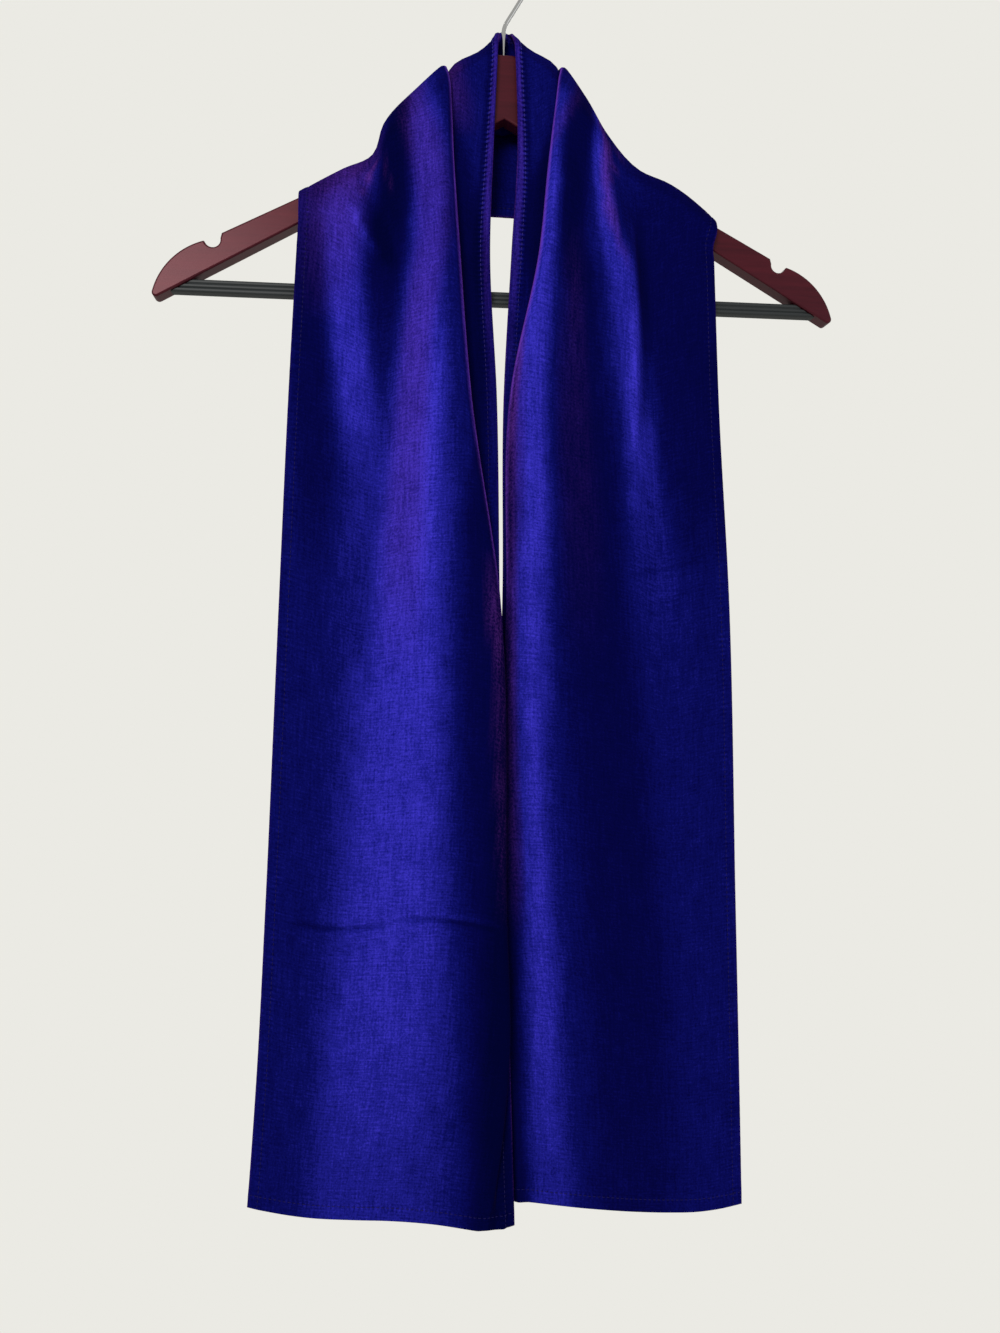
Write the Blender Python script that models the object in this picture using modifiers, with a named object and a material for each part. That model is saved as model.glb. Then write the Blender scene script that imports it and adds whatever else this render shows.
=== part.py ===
"""A velvet scarf hung on a wooden coat hanger.

The scarf goes behind the hanger's neck, over both arms, and hangs in two ends at the front.
Each stretch of cloth is a wall of one thickness on a surface that is worked out from the scarf's
fold lines: a row of the tables below follows one fold from the hem to the shoulder.
The tables are in millimetres: x to the right, y away from the viewer, and heights measured from
the top of the hanger's neck. The part's origin is at the hook's inner crown, where a rail holds it.
"""
import math
from collections import namedtuple

import bmesh
import bpy
import numpy as np

MM = 0.001
OBJECT_NAME = "velvet_scarf_on_hanger"

# Clearance between neighbouring pieces
PIECE_GAP = 0.3

# The hook: a straight shank out of the neck, a bend to the right and a round crook
WIRE_RADIUS = 1.4
SHANK_DEPTH = 22.0
BEND_HEIGHT = 21.0
BEND_RADIUS = 16.0
BEND_LEAN = math.radians(59.0)
CROOK_RADIUS = 19.0
CROOK_END = math.radians(205.0)
CROOK_HEIGHT = BEND_HEIGHT + CROOK_RADIUS / math.cos(BEND_LEAN)
CROWN_HEIGHT = CROOK_HEIGHT + CROOK_RADIUS - WIRE_RADIUS

# The wooden body
WOOD_THICKNESS = 12.0
WOOD_EASE = 2.2
NECK_HALF_WIDTH = 10.5
NECK_CORNER = 5.5
NECK_FILLET = 12.0
ARM_TOP_HEIGHT = -31.3
ARM_TOP_SLOPE = 0.518
ARM_UNDER_HEIGHT = -41.3
ARM_UNDER_SLOPE = 0.569
NOTCH_CENTRE = (185.4, -128.6)
NOTCH_RADIUS = 5.0
NOTCH_MOUTH = (179.6, -124.4)
NOTCH_LIP = (190.9, -129.7)
SHOULDER_POINT = (208.8, -140.0)
TIP_POINT = (222.5, -163.0)
TIP_CORNER = 2.6

# The ribbed bar between the arms
BAR_TOP_HEIGHT = -153.6
BAR_HEIGHT = 8.2
BAR_THICKNESS = 8.0
BAR_CORNER = 1.2
BAR_GROOVE_DEPTH = 0.7
BAR_GROOVE_WIDTH = 0.9
BAR_GROOVES = (-1.3, 1.3)

# The scarf: cut 178 mm wide and 1.57 m long
CLOTH_THICKNESS = 1.6

# How far the arch over the shoulder drops to its front foot, for each unit of its half depth
FOOT_DROP = 1.1

# How far a fold line's slope may pull, for each unit of the neighbouring chord
REACH = 1.6

# Heights of the level sections on both hanging ends
CHEST_HEIGHT = -130.0
RIBS_HEIGHT = -225.0
WAIST_HEIGHT = -355.0
KNEE_HEIGHT = -550.0
SHIN_HEIGHT = -655.0

# The tables below have one row for each fold line, from the outer edge to the inner edge.
# Shoulder: where the line crosses over the shoulder, the half depth of that arch, and where the
# line is behind it. back_drop is how far it has dropped there.
Shoulder = namedtuple("Shoulder", "name top_x top_z arch back_x back_drop")
# Across and Depth: x and y on each level section of the hanging end, and the hem's height
Across = namedtuple("Across", "name yoke chest ribs waist knee shin hem hem_height")
Depth = namedtuple("Depth", "name yoke chest ribs waist knee shin hem")
End = namedtuple("End", "side shoulder across depth")

LEFT_END = End(
    side=1.0,
    shoulder=[
        Shoulder("outer_edge", -131.5, -94.6, 11.6, -129.5, 4.0),
        Shoulder("outer_crest", -103.0, -77.8, 11.6, -98.0, 6.0),
        Shoulder("pinch", -84.5, -68.0, 11.6, -78.0, 7.0),
        Shoulder("roll", -77.0, -47.0, 11.5, -68.0, 8.0),
        Shoulder("crest", -56.0, -23.2, 14.0, -48.0, 9.0),
        Shoulder("ridge", -37.4, -8.0, 14.5, -30.8, 6.0),
        Shoulder("tuck", -44.4, -22.0, 10.0, -38.4, 6.0),
        Shoulder("strip", -31.6, -5.4, 10.0, -25.2, 2.0),
        Shoulder("band", -15.2, 4.6, 9.2, -12.0, -2.0),
        Shoulder("inner_edge", -2.6, 17.4, 8.2, -3.4, -5.0),
    ],
    across=[
        Across("outer_edge", -131.8, -132.5, -137.5, -143.4, -152.0, -157.5, -163.5, -738.0),
        Across("outer_crest", -105.0, -107.0, -107.0, -110.0, -118.0, -122.0, -126.0, -744.5),
        Across("pinch", -84.0, -82.0, -80.0, -82.0, -90.0, -93.0, -96.0, -746.0),
        Across("roll", -73.0, -70.0, -66.0, -64.0, -70.0, -73.0, -75.0, -747.0),
        Across("crest", -53.0, -50.0, -45.0, -38.0, -40.0, -43.0, -46.0, -750.0),
        Across("ridge", -34.0, -30.7, -23.4, -5.0, -0.9, 0.4, -16.0, -755.6),
        Across("tuck", -47.0, -49.0, -42.0, -23.0, -12.5, -6.5, -4.6, -757.0),
        Across("strip", -29.0, -29.0, -24.0, -15.5, -7.0, -1.2, -0.2, -756.6),
        Across("band", -16.5, -17.5, -13.5, -10.0, -4.0, 0.6, 2.4, -756.2),
        Across("inner_edge", -7.4, -9.8, -5.6, -3.9, -0.4, 2.8, 5.2, -755.5),
    ],
    depth=[
        Depth("outer_edge", -10.5, -10.0, -12.0, -12.0, -11.0, -10.0, -9.0),
        Depth("outer_crest", -14.5, -16.0, -17.5, -18.0, -17.0, -15.5, -13.5),
        Depth("pinch", -10.5, -12.0, -14.0, -16.0, -18.0, -18.0, -17.0),
        Depth("roll", -13.5, -15.0, -17.0, -18.0, -19.5, -19.5, -18.5),
        Depth("crest", -19.5, -21.0, -22.0, -22.5, -22.5, -22.0, -20.5),
        Depth("ridge", -18.5, -20.5, -21.5, -22.2, -22.2, -22.6, -21.0),
        Depth("tuck", -12.8, -14.8, -15.5, -16.4, -16.2, -15.6, -18.0),
        Depth("strip", -10.5, -11.5, -11.8, -12.6, -13.0, -13.8, -17.2),
        Depth("band", -9.6, -10.6, -12.0, -12.9, -13.4, -14.0, -17.0),
        Depth("inner_edge", -9.4, -10.0, -11.5, -12.8, -13.6, -14.2, -16.8),
    ],
)

RIGHT_END = End(
    side=-1.0,
    shoulder=[
        Shoulder("outer_edge", 141.4, -99.6, 11.6, 138.5, 4.0),
        Shoulder("outer_crest", 110.5, -76.2, 11.6, 104.0, 6.0),
        Shoulder("pinch", 89.0, -67.8, 11.6, 82.0, 7.0),
        Shoulder("roll", 67.0, -45.0, 12.0, 59.0, 8.0),
        Shoulder("crest", 53.5, -22.4, 13.5, 45.5, 9.0),
        Shoulder("ridge", 37.2, -4.0, 14.5, 31.0, 7.0),
        Shoulder("tuck", 44.4, -19.8, 10.0, 38.5, 7.0),
        Shoulder("strip", 33.0, -1.6, 10.0, 26.5, 3.0),
        Shoulder("band", 16.4, 7.9, 9.2, 13.0, -2.0),
        Shoulder("inner_edge", 5.0, 17.2, 8.2, 4.2, -5.0),
    ],
    across=[
        Across("outer_edge", 138.4, 139.2, 142.0, 148.7, 153.0, 155.5, 157.6, -754.0),
        Across("outer_crest", 112.0, 113.0, 117.0, 121.0, 125.0, 126.0, 127.0, -756.0),
        Across("pinch", 89.0, 91.0, 97.0, 102.0, 106.0, 107.0, 107.0, -755.0),
        Across("roll", 70.5, 75.5, 82.0, 86.0, 87.0, 86.5, 86.0, -753.0),
        Across("crest", 50.0, 47.0, 46.0, 47.0, 49.0, 49.0, 49.0, -748.5),
        Across("ridge", 27.3, 21.4, 2.5, 0.8, -4.0, 2.0, 12.0, -745.0),
        Across("tuck", 43.0, 39.0, 20.0, 17.0, 5.0, 1.0, 2.0, -745.0),
        Across("strip", 27.0, 22.0, 11.0, 10.0, -0.5, -3.0, -4.5, -744.0),
        Across("band", 15.5, 11.5, 5.5, 5.0, -4.0, -7.5, -10.5, -744.0),
        Across("inner_edge", 8.0, 4.0, -0.9, -1.0, -9.0, -13.0, -17.0, -744.0),
    ],
    depth=[
        Depth("outer_edge", -10.5, -9.6, -11.0, -12.0, -12.0, -11.5, -11.0),
        Depth("outer_crest", -13.5, -14.5, -14.5, -15.0, -15.0, -14.5, -14.0),
        Depth("pinch", -10.5, -11.0, -12.5, -14.0, -15.0, -15.0, -14.5),
        Depth("roll", -16.5, -18.5, -18.0, -17.0, -16.5, -16.0, -15.0),
        Depth("crest", -16.5, -15.5, -16.5, -17.5, -18.0, -16.5, -14.5),
        Depth("ridge", -17.5, -18.5, -17.0, -11.5, -7.0, -7.5, -10.0),
        Depth("tuck", -12.0, -12.3, -11.0, -5.5, -1.5, -3.0, -7.5),
        Depth("strip", -9.8, -9.4, -7.6, -2.0, 1.0, -1.0, -6.8),
        Depth("band", -9.4, -9.2, -7.5, -1.6, 1.0, -1.0, -6.4),
        Depth("inner_edge", -9.4, -9.6, -7.5, -1.5, 1.0, -1.0, -6.0),
    ],
)

# The same fold lines where they pass behind the neck, on the hanger's middle plane
NapePoint = namedtuple("NapePoint", "name y z")
NAPE = [
    NapePoint("outer_edge", 11.0, -98.5),
    NapePoint("outer_crest", 13.0, -83.0),
    NapePoint("pinch", 13.5, -69.0),
    NapePoint("roll", 14.5, -56.0),
    NapePoint("crest", 20.0, -41.0),
    NapePoint("ridge", 19.5, -20.0),
    NapePoint("tuck", 13.5, -42.0),
    NapePoint("strip", 9.8, -17.0),
    NapePoint("band", 9.0, 8.0),
    NapePoint("inner_edge", 8.8, 23.5),
]

# Sections along the scarf. "inward" points along the section to the inner edge and "outward"
# out of the cloth, both for the left end. "fold" is the radius of the pleat's two folds there,
# and "opening" is 0 where the pleat is shut, 1 where it lies flat.
Section = namedtuple("Section", "name inward outward fold opening")
FRONT_IN = (1.0, 0.0, 0.0)
FRONT_OUT = (0.0, -1.0, 0.0)
SECTIONS = [
    Section("hem", FRONT_IN, FRONT_OUT, 2.7, 1.0),
    Section("shin", FRONT_IN, FRONT_OUT, 2.7, 0.5),
    Section("knee", FRONT_IN, FRONT_OUT, 2.7, 0.0),
    Section("waist", FRONT_IN, FRONT_OUT, 2.7, 0.0),
    Section("ribs", FRONT_IN, FRONT_OUT, 2.6, 0.0),
    Section("chest", FRONT_IN, FRONT_OUT, 2.5, 0.0),
    Section("yoke", FRONT_IN, FRONT_OUT, 2.2, 0.0),
    Section("front_foot", FRONT_IN, FRONT_OUT, 1.9, 0.0),
    Section("top", (0.75, 0.0, 0.66), (-0.66, 0.0, 0.75), 1.6, 0.0),
    Section("back_foot", (0.7, 0.0, 0.71), (0.0, 1.0, 0.0), 1.9, 0.0),
    Section("behind", (0.35, 0.0, 0.94), (0.0, 1.0, 0.0), 2.4, 0.0),
    Section("nape", (0.0, 0.0, 1.0), (0.0, 1.0, 0.0), 2.7, 0.0),
]


def even(count):
    """Places of evenly spaced mesh rows on one span, its far end left to the next span."""
    return tuple(i / count for i in range(count))


# Mesh rows from each section to the next, with a close row on both sides of the seam, and
# mesh columns between neighbouring fold points
ROWS = {
    "hem": even(2), "shin": even(3), "knee": even(4), "waist": even(3), "ribs": even(3),
    "chest": even(2), "yoke": even(2), "front_foot": even(4) + (0.92,),
    "top": (0.0, 0.08) + even(4)[1:], "back_foot": even(3), "behind": even(3),
}
COLUMNS = tuple(even(count) for count in (3, 3, 2, 3, 3, 2, 2, 2, 2, 2, 2, 2, 2))


def clear_scene():
    """Removes whatever the scene starts with."""
    for obj in list(bpy.data.objects):
        bpy.data.objects.remove(obj, do_unlink=True)


def make_collection(name):
    """Returns a new collection in the scene."""
    collection = bpy.data.collections.new(name)
    bpy.context.scene.collection.children.link(collection)
    return collection


def make_material(name, colour, roughness, metallic=0.0):
    """Returns a Principled material with one colour."""
    material = bpy.data.materials.new(name)
    material.use_nodes = True
    shader = material.node_tree.nodes["Principled BSDF"]
    shader.inputs["Base Color"].default_value = (*colour, 1.0)
    shader.inputs["Roughness"].default_value = roughness
    shader.inputs["Metallic"].default_value = metallic
    material.diffuse_color = (*colour, 1.0)
    return material


def place(points):
    """Turns table millimetres, heights from the neck's top, into metres from the hook's crown."""
    points = np.asarray(points, dtype=float)
    return (points - np.array([0.0, 0.0, CROWN_HEIGHT])) * MM


def add_object(name, data, collection, material):
    """Links a new object that carries the material."""
    obj = bpy.data.objects.new(name, data)
    data.materials.append(material)
    collection.objects.link(obj)
    return obj


def arc(centre, radius, start, end, steps):
    """Points on an arc, angles in radians, both ends included."""
    angles = np.linspace(start, end, steps + 1)
    return [(centre[0] + radius * math.cos(a), centre[1] + radius * math.sin(a)) for a in angles]


def arc_through(first, middle, last, steps):
    """Points on the arc through three points, both ends included."""
    (ax, az), (bx, bz), (cx, cz) = first, middle, last
    lhs = np.array([[bx - ax, bz - az], [cx - bx, cz - bz]])
    rhs = 0.5 * np.array([bx**2 - ax**2 + bz**2 - az**2, cx**2 - bx**2 + cz**2 - bz**2])
    centre = np.linalg.solve(lhs, rhs)
    radius = math.hypot(ax - centre[0], az - centre[1])
    start = math.atan2(az - centre[1], ax - centre[0])
    end = math.atan2(cz - centre[1], cx - centre[0])
    return arc(centre, radius, start, end, steps)


def hanger_half_outline():
    """The wooden body's right half, clockwise from the middle of the neck's top to the underside."""
    top_length = math.hypot(1.0, ARM_TOP_SLOPE)
    under_length = math.hypot(1.0, ARM_UNDER_SLOPE)
    fillet_x = NECK_HALF_WIDTH + NECK_FILLET
    fillet_z = NECK_FILLET * top_length + ARM_TOP_HEIGHT - ARM_TOP_SLOPE * fillet_x
    fillet_end = 1.5 * math.pi - math.atan(ARM_TOP_SLOPE)
    tip_x = TIP_POINT[0] - TIP_CORNER
    tip_z = TIP_CORNER * under_length + ARM_UNDER_HEIGHT - ARM_UNDER_SLOPE * tip_x
    tip_end = -0.5 * math.pi - math.atan(ARM_UNDER_SLOPE)
    points = [(0.0, 0.0)]
    points += arc((NECK_HALF_WIDTH - NECK_CORNER, -NECK_CORNER), NECK_CORNER, math.pi / 2, 0.0, 5)
    points += arc((fillet_x, fillet_z), NECK_FILLET, math.pi, fillet_end, 6)
    points += [NOTCH_MOUTH]
    points += arc(NOTCH_CENTRE, NOTCH_RADIUS, math.radians(170), math.radians(340), 9)
    points += arc_through(NOTCH_LIP, SHOULDER_POINT, TIP_POINT, 9)
    points += arc((tip_x, tip_z), TIP_CORNER, math.radians(-5), tip_end, 4)
    points += [(0.0, ARM_UNDER_HEIGHT)]
    return points


def mesh_from(obj):
    """Turns an object's evaluated shape into a welded mesh and removes the object."""
    graph = bpy.context.evaluated_depsgraph_get()
    mesh = bpy.data.meshes.new_from_object(obj.evaluated_get(graph))
    built = bmesh.new()
    built.from_mesh(mesh)
    bmesh.ops.remove_doubles(built, verts=built.verts, dist=0.00001)
    bmesh.ops.recalc_face_normals(built, faces=built.faces)
    built.to_mesh(mesh)
    built.free()
    bpy.data.objects.remove(obj, do_unlink=True)
    return mesh


def build_hanger_wood(collection, cutters, material):
    """The V of the arms with its neck: a flat outline, extruded and eased, bored for the hook."""
    half = hanger_half_outline()
    outline = half + [(-x, z) for x, z in reversed(half[1:-1])]
    curve = bpy.data.curves.new("hanger_outline", "CURVE")
    curve.dimensions = "2D"
    curve.fill_mode = "BOTH"
    curve.extrude = 0.5 * WOOD_THICKNESS * MM
    spline = curve.splines.new("POLY")
    spline.points.add(len(outline) - 1)
    for point, (x, z) in zip(spline.points, outline):
        point.co = (x * MM, z * MM, 0.0, 1.0)
    spline.use_cyclic_u = True
    drawn = bpy.data.objects.new("hanger_outline", curve)
    collection.objects.link(drawn)
    mesh = mesh_from(drawn)
    for vertex in mesh.vertices:
        x, z, y = vertex.co
        vertex.co = (x, -y, z - CROWN_HEIGHT * MM)
    wood = add_object("hanger_wood", mesh, collection, material)

    ease = wood.modifiers.new("eased_edges", "BEVEL")
    ease.width = WOOD_EASE * MM
    ease.segments = 2
    ease.limit_method = "ANGLE"
    ease.angle_limit = math.radians(60)

    bore_depth = SHANK_DEPTH + PIECE_GAP
    bpy.ops.mesh.primitive_cylinder_add(
        vertices=16, radius=(WIRE_RADIUS + PIECE_GAP) * MM, depth=2 * bore_depth * MM,
        location=(0.0, 0.0, -CROWN_HEIGHT * MM))
    bore = bpy.context.active_object
    bore.name = "shank_bore"
    for holder in list(bore.users_collection):
        holder.objects.unlink(bore)
    cutters.objects.link(bore)
    bore.hide_render = True
    bore.display_type = "WIRE"
    cut = wood.modifiers.new("shank_bore", "BOOLEAN")
    cut.operation = "DIFFERENCE"
    cut.object = bore
    return wood


def hook_path():
    """The wire's middle line as (x, height): shank, bend, lean, then round the crook."""
    turn = math.pi / 2 - BEND_LEAN
    reach = BEND_RADIUS * math.tan(turn / 2)
    bend_start = BEND_HEIGHT - reach
    bend = arc((BEND_RADIUS, bend_start), BEND_RADIUS, math.pi, math.pi - turn, 5)
    crook = arc((0.0, CROOK_HEIGHT), CROOK_RADIUS, BEND_LEAN - math.pi / 2, CROOK_END, 26)
    shank = [(0.0, -SHANK_DEPTH), (0.0, 0.5 * (bend_start - SHANK_DEPTH))]
    return shank + bend + crook


def build_hook(collection, material):
    """The bent wire, seated in the neck's bore."""
    path = hook_path()
    curve = bpy.data.curves.new("hanger_hook", "CURVE")
    curve.dimensions = "3D"
    curve.bevel_depth = WIRE_RADIUS * MM
    curve.bevel_resolution = 2
    curve.use_fill_caps = True
    spline = curve.splines.new("POLY")
    spline.points.add(len(path) - 1)
    for point, (x, z) in zip(spline.points, path):
        point.co = (*place((x, 0.0, z)), 1.0)
    return add_object("hanger_hook", curve, collection, material)


def bar_profile():
    """The bar's section as (y, height above its middle), anticlockwise from the front's foot."""
    half_y = 0.5 * BAR_THICKNESS
    half_z = 0.5 * BAR_HEIGHT
    side = [(half_y - BAR_CORNER, -half_z), (half_y, -half_z + BAR_CORNER)]
    for middle in BAR_GROOVES:
        side += [(half_y, middle - BAR_GROOVE_WIDTH), (half_y - BAR_GROOVE_DEPTH, middle),
                 (half_y, middle + BAR_GROOVE_WIDTH)]
    side += [(half_y, half_z - BAR_CORNER), (half_y - BAR_CORNER, half_z)]
    return side + [(-y, z) for y, z in reversed(side)]


def build_bar(collection, material):
    """The ribbed bar: its section carried from arm to arm, mitred to the arms' undersides."""
    middle_z = BAR_TOP_HEIGHT - 0.5 * BAR_HEIGHT
    slope_length = math.hypot(1.0, ARM_UNDER_SLOPE)
    lift = ARM_UNDER_HEIGHT - PIECE_GAP * slope_length
    built = bmesh.new()
    rings = []
    for side in (-1.0, 1.0):
        ring = []
        for y, z in bar_profile():
            height = middle_z + z
            end_x = side * (lift - height) / ARM_UNDER_SLOPE
            ring.append(built.verts.new(place((end_x, y, height))))
        rings.append(ring)
    count = len(rings[0])
    for i in range(count):
        j = (i + 1) % count
        built.faces.new((rings[0][i], rings[0][j], rings[1][j], rings[1][i]))
    built.faces.new(rings[0])
    built.faces.new(list(reversed(rings[1])))
    bmesh.ops.recalc_face_normals(built, faces=built.faces)
    mesh = bpy.data.meshes.new("hanger_bar")
    built.to_mesh(mesh)
    built.free()
    return add_object("hanger_bar", mesh, collection, material)


def section_points(end, section_name):
    """The fold lines' places on one section of a hanging end, one point for each fold line."""
    points = []
    for shoulder, across, depth, nape in zip(end.shoulder, end.across, end.depth, NAPE):
        foot = (0.7 * shoulder.top_x + 0.3 * across.yoke, -shoulder.arch,
                shoulder.top_z - FOOT_DROP * shoulder.arch)
        behind_z = shoulder.top_z - shoulder.back_drop
        places = {
            "hem": (across.hem, depth.hem, across.hem_height),
            "shin": (across.shin, depth.shin, SHIN_HEIGHT),
            "knee": (across.knee, depth.knee, KNEE_HEIGHT),
            "waist": (across.waist, depth.waist, WAIST_HEIGHT),
            "ribs": (across.ribs, depth.ribs, RIBS_HEIGHT),
            "chest": (across.chest, depth.chest, CHEST_HEIGHT),
            "yoke": (across.yoke, depth.yoke, 0.5 * (foot[2] + CHEST_HEIGHT)),
            "front_foot": foot,
            "top": (shoulder.top_x, 0.0, shoulder.top_z),
            "back_foot": (shoulder.back_x, shoulder.arch, behind_z),
            "behind": (0.5 * shoulder.back_x, 0.3 * shoulder.arch + 0.7 * nape.y,
                       0.4 * behind_z + 0.6 * nape.z),
            "nape": (0.0, nape.y, nape.z),
        }
        points.append(places[section_name])
    return points


def with_pleat(end, section):
    """One section's points, the pleat's ridge and tuck rounded to three points each."""
    inward = np.array(section.inward) * (end.side, 1.0, 1.0)
    outward = np.array(section.outward) * (end.side, 1.0, 1.0)
    across = section.fold * inward
    through = section.fold * (1.0 - section.opening) * outward
    turned = 1.0 - 2.0 * section.opening
    rounded = []
    for nape, point in zip(NAPE, section_points(end, section.name)):
        point = np.array(point)
        if nape.name == "ridge":
            rounded += [point - across + through, point, point - turned * across - through]
        elif nape.name == "tuck":
            rounded += [point + turned * across + through, point, point + across - through]
        else:
            rounded.append(point)
    return np.array(rounded)


def flow(points, places):
    """A smooth curve through points along axis 0, read at the given places on each span.

    Each span is a cubic. Its end slopes point along the mean of the neighbouring chords, the
    shorter chord counting more, and pull as far as the span's own chord, or REACH times the
    neighbouring chord where that is less.
    """
    chords = np.diff(points, axis=0)
    lengths = np.maximum(np.linalg.norm(chords, axis=-1, keepdims=True), 1e-6)
    speeds = chords / lengths
    inner = (speeds[:-1] * lengths[1:] + speeds[1:] * lengths[:-1]) / (lengths[:-1] + lengths[1:])
    slopes = np.concatenate([2.0 * speeds[:1] - inner[:1], inner, 2.0 * speeds[-1:] - inner[-1:]])
    slopes /= np.maximum(np.linalg.norm(slopes, axis=-1, keepdims=True), 1e-6)
    pulls_out = np.concatenate([lengths[:1], np.minimum(lengths[1:], REACH * lengths[:-1])])
    pulls_in = np.concatenate([np.minimum(lengths[:-1], REACH * lengths[1:]), lengths[-1:]])
    pieces = []
    for span, where in enumerate(places):
        t = np.array(where).reshape((-1,) + (1,) * (points.ndim - 1))
        leaving = pulls_out[span] * slopes[span]
        arriving = pulls_in[span] * slopes[span + 1]
        pieces.append((2 * t**3 - 3 * t**2 + 1) * points[span] + (t**3 - 2 * t**2 + t) * leaving
                      + (3 * t**2 - 2 * t**3) * points[span + 1] + (t**3 - t**2) * arriving)
    pieces.append(points[-1:])
    return np.concatenate(pieces)


def mirrored(where):
    """The places of one span for the other end of the scarf, where rows run the other way."""
    return (0.0,) + tuple(1.0 - t for t in reversed(where[1:]))


def scarf_grid():
    """Points of the whole scarf's middle surface, rows from the left hem to the right hem."""
    left = [with_pleat(LEFT_END, section) for section in SECTIONS]
    right = [with_pleat(RIGHT_END, section) for section in SECTIONS[:-1]]
    lines = np.array(left + right[::-1])
    spans = [ROWS[s.name] for s in SECTIONS[:-1]]
    rows = flow(lines, spans + [mirrored(where) for where in reversed(spans)])
    return flow(rows.transpose(1, 0, 2), COLUMNS).transpose(1, 0, 2)


def row_of(section_name):
    """The grid row of a named section on the left end."""
    row = 0
    for section in SECTIONS:
        if section.name == section_name:
            return row
        row += len(ROWS[section.name])
    raise ValueError(section_name)


def build_stretch(name, grid, collection, material):
    """One stretch of the scarf: the surface through its grid, made a wall by Solidify."""
    rows, columns = grid.shape[:2]
    index = np.arange(rows * columns).reshape(rows, columns)
    corners = (index[:-1, :-1], index[:-1, 1:], index[1:, 1:], index[1:, :-1])
    faces = np.stack(corners, axis=-1).reshape(-1, 4)
    mesh = bpy.data.meshes.new(name)
    mesh.from_pydata(place(grid).reshape(-1, 3).tolist(), [], faces.tolist())
    mesh.shade_smooth()
    stretch = add_object(name, mesh, collection, material)
    wall = stretch.modifiers.new("cloth_thickness", "SOLIDIFY")
    wall.thickness = CLOTH_THICKNESS * MM
    wall.offset = 0.0
    return stretch


def trimmed_ends(grid, first, last):
    """Pulls the named end rows in along the cloth, by half the gap between two stretches."""
    grid = grid.copy()
    half_gap = 0.5 * PIECE_GAP
    for end, neighbour in ((0, 1),) * first + ((-1, -2),) * last:
        step = grid[neighbour] - grid[end]
        grid[end] += half_gap * step / np.linalg.norm(step, axis=-1, keepdims=True)
    return grid


def build_scarf(collection, material):
    """The scarf's three stretches, parted along the tops of the shoulders."""
    grid = scarf_grid()
    left_seam = row_of("top")
    right_seam = len(grid) - 1 - left_seam
    build_stretch("scarf_front_left", trimmed_ends(grid[:left_seam + 1], False, True),
                  collection, material)
    build_stretch("scarf_neck_back", trimmed_ends(grid[left_seam:right_seam + 1], True, True),
                  collection, material)
    build_stretch("scarf_front_right", trimmed_ends(grid[right_seam:], True, False),
                  collection, material)


def main():
    clear_scene()
    part = make_collection(OBJECT_NAME)
    cutters = make_collection("cutters")
    velvet = make_material("blue_velvet", (0.018, 0.008, 0.26), 0.85)
    lacquer = make_material("lacquered_mahogany", (0.16, 0.035, 0.045), 0.28)
    charcoal = make_material("charcoal_ribbed_plastic", (0.03, 0.036, 0.042), 0.5)
    chrome = make_material("chromed_wire", (0.8, 0.8, 0.82), 0.12, 1.0)
    build_hanger_wood(part, cutters, lacquer)
    build_hook(part, chrome)
    build_bar(part, charcoal)
    build_scarf(part, velvet)


main()
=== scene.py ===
"""A velvet scarf hung on a wooden coat hanger: the finish of every surface that shows.

The tables are in millimetres: x to the right, y away from the viewer, and heights measured from the
top of the hanger's neck. The frame's origin is at the hook's inner crown, CROWN_HEIGHT above that.
"""

import math
from collections import namedtuple

import bmesh
import bpy
import numpy as np
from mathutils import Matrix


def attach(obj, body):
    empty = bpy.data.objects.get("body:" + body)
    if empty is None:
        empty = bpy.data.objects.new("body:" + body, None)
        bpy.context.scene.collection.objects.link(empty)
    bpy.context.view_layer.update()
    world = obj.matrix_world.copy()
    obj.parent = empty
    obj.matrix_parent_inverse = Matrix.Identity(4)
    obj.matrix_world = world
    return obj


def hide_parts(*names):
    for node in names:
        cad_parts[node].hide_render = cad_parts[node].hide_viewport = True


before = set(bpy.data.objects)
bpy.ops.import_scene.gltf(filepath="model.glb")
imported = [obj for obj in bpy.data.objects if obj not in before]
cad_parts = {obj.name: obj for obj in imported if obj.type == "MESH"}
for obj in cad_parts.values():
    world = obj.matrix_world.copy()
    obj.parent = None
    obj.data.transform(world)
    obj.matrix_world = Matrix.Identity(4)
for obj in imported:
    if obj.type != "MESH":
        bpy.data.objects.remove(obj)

bl_info = {
    "name": "Velvet Scarf on a Hanger",
    "version": (1, 0, 0),
    "blender": (4, 5, 0),
    "location": "3D View > Sidebar > Scarf",
    "description": "Builds a hung velvet scarf, its stitching, its wooden hanger and a plain studio",
    "category": "Add Mesh",
}

MM = 0.001
WELD = 0.000002

# The hook's wire and its path, the same sizes as the hanger's own hook
WIRE_RADIUS = 1.4
SHANK_DEPTH = 8.0
BEND_HEIGHT = 21.0
BEND_RADIUS = 16.0
BEND_LEAN = math.radians(59.0)
CROOK_RADIUS = 19.0
CROOK_END = math.radians(205.0)
CROOK_HEIGHT = BEND_HEIGHT + CROOK_RADIUS / math.cos(BEND_LEAN)
CROWN_HEIGHT = CROOK_HEIGHT + CROOK_RADIUS - WIRE_RADIUS

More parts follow.
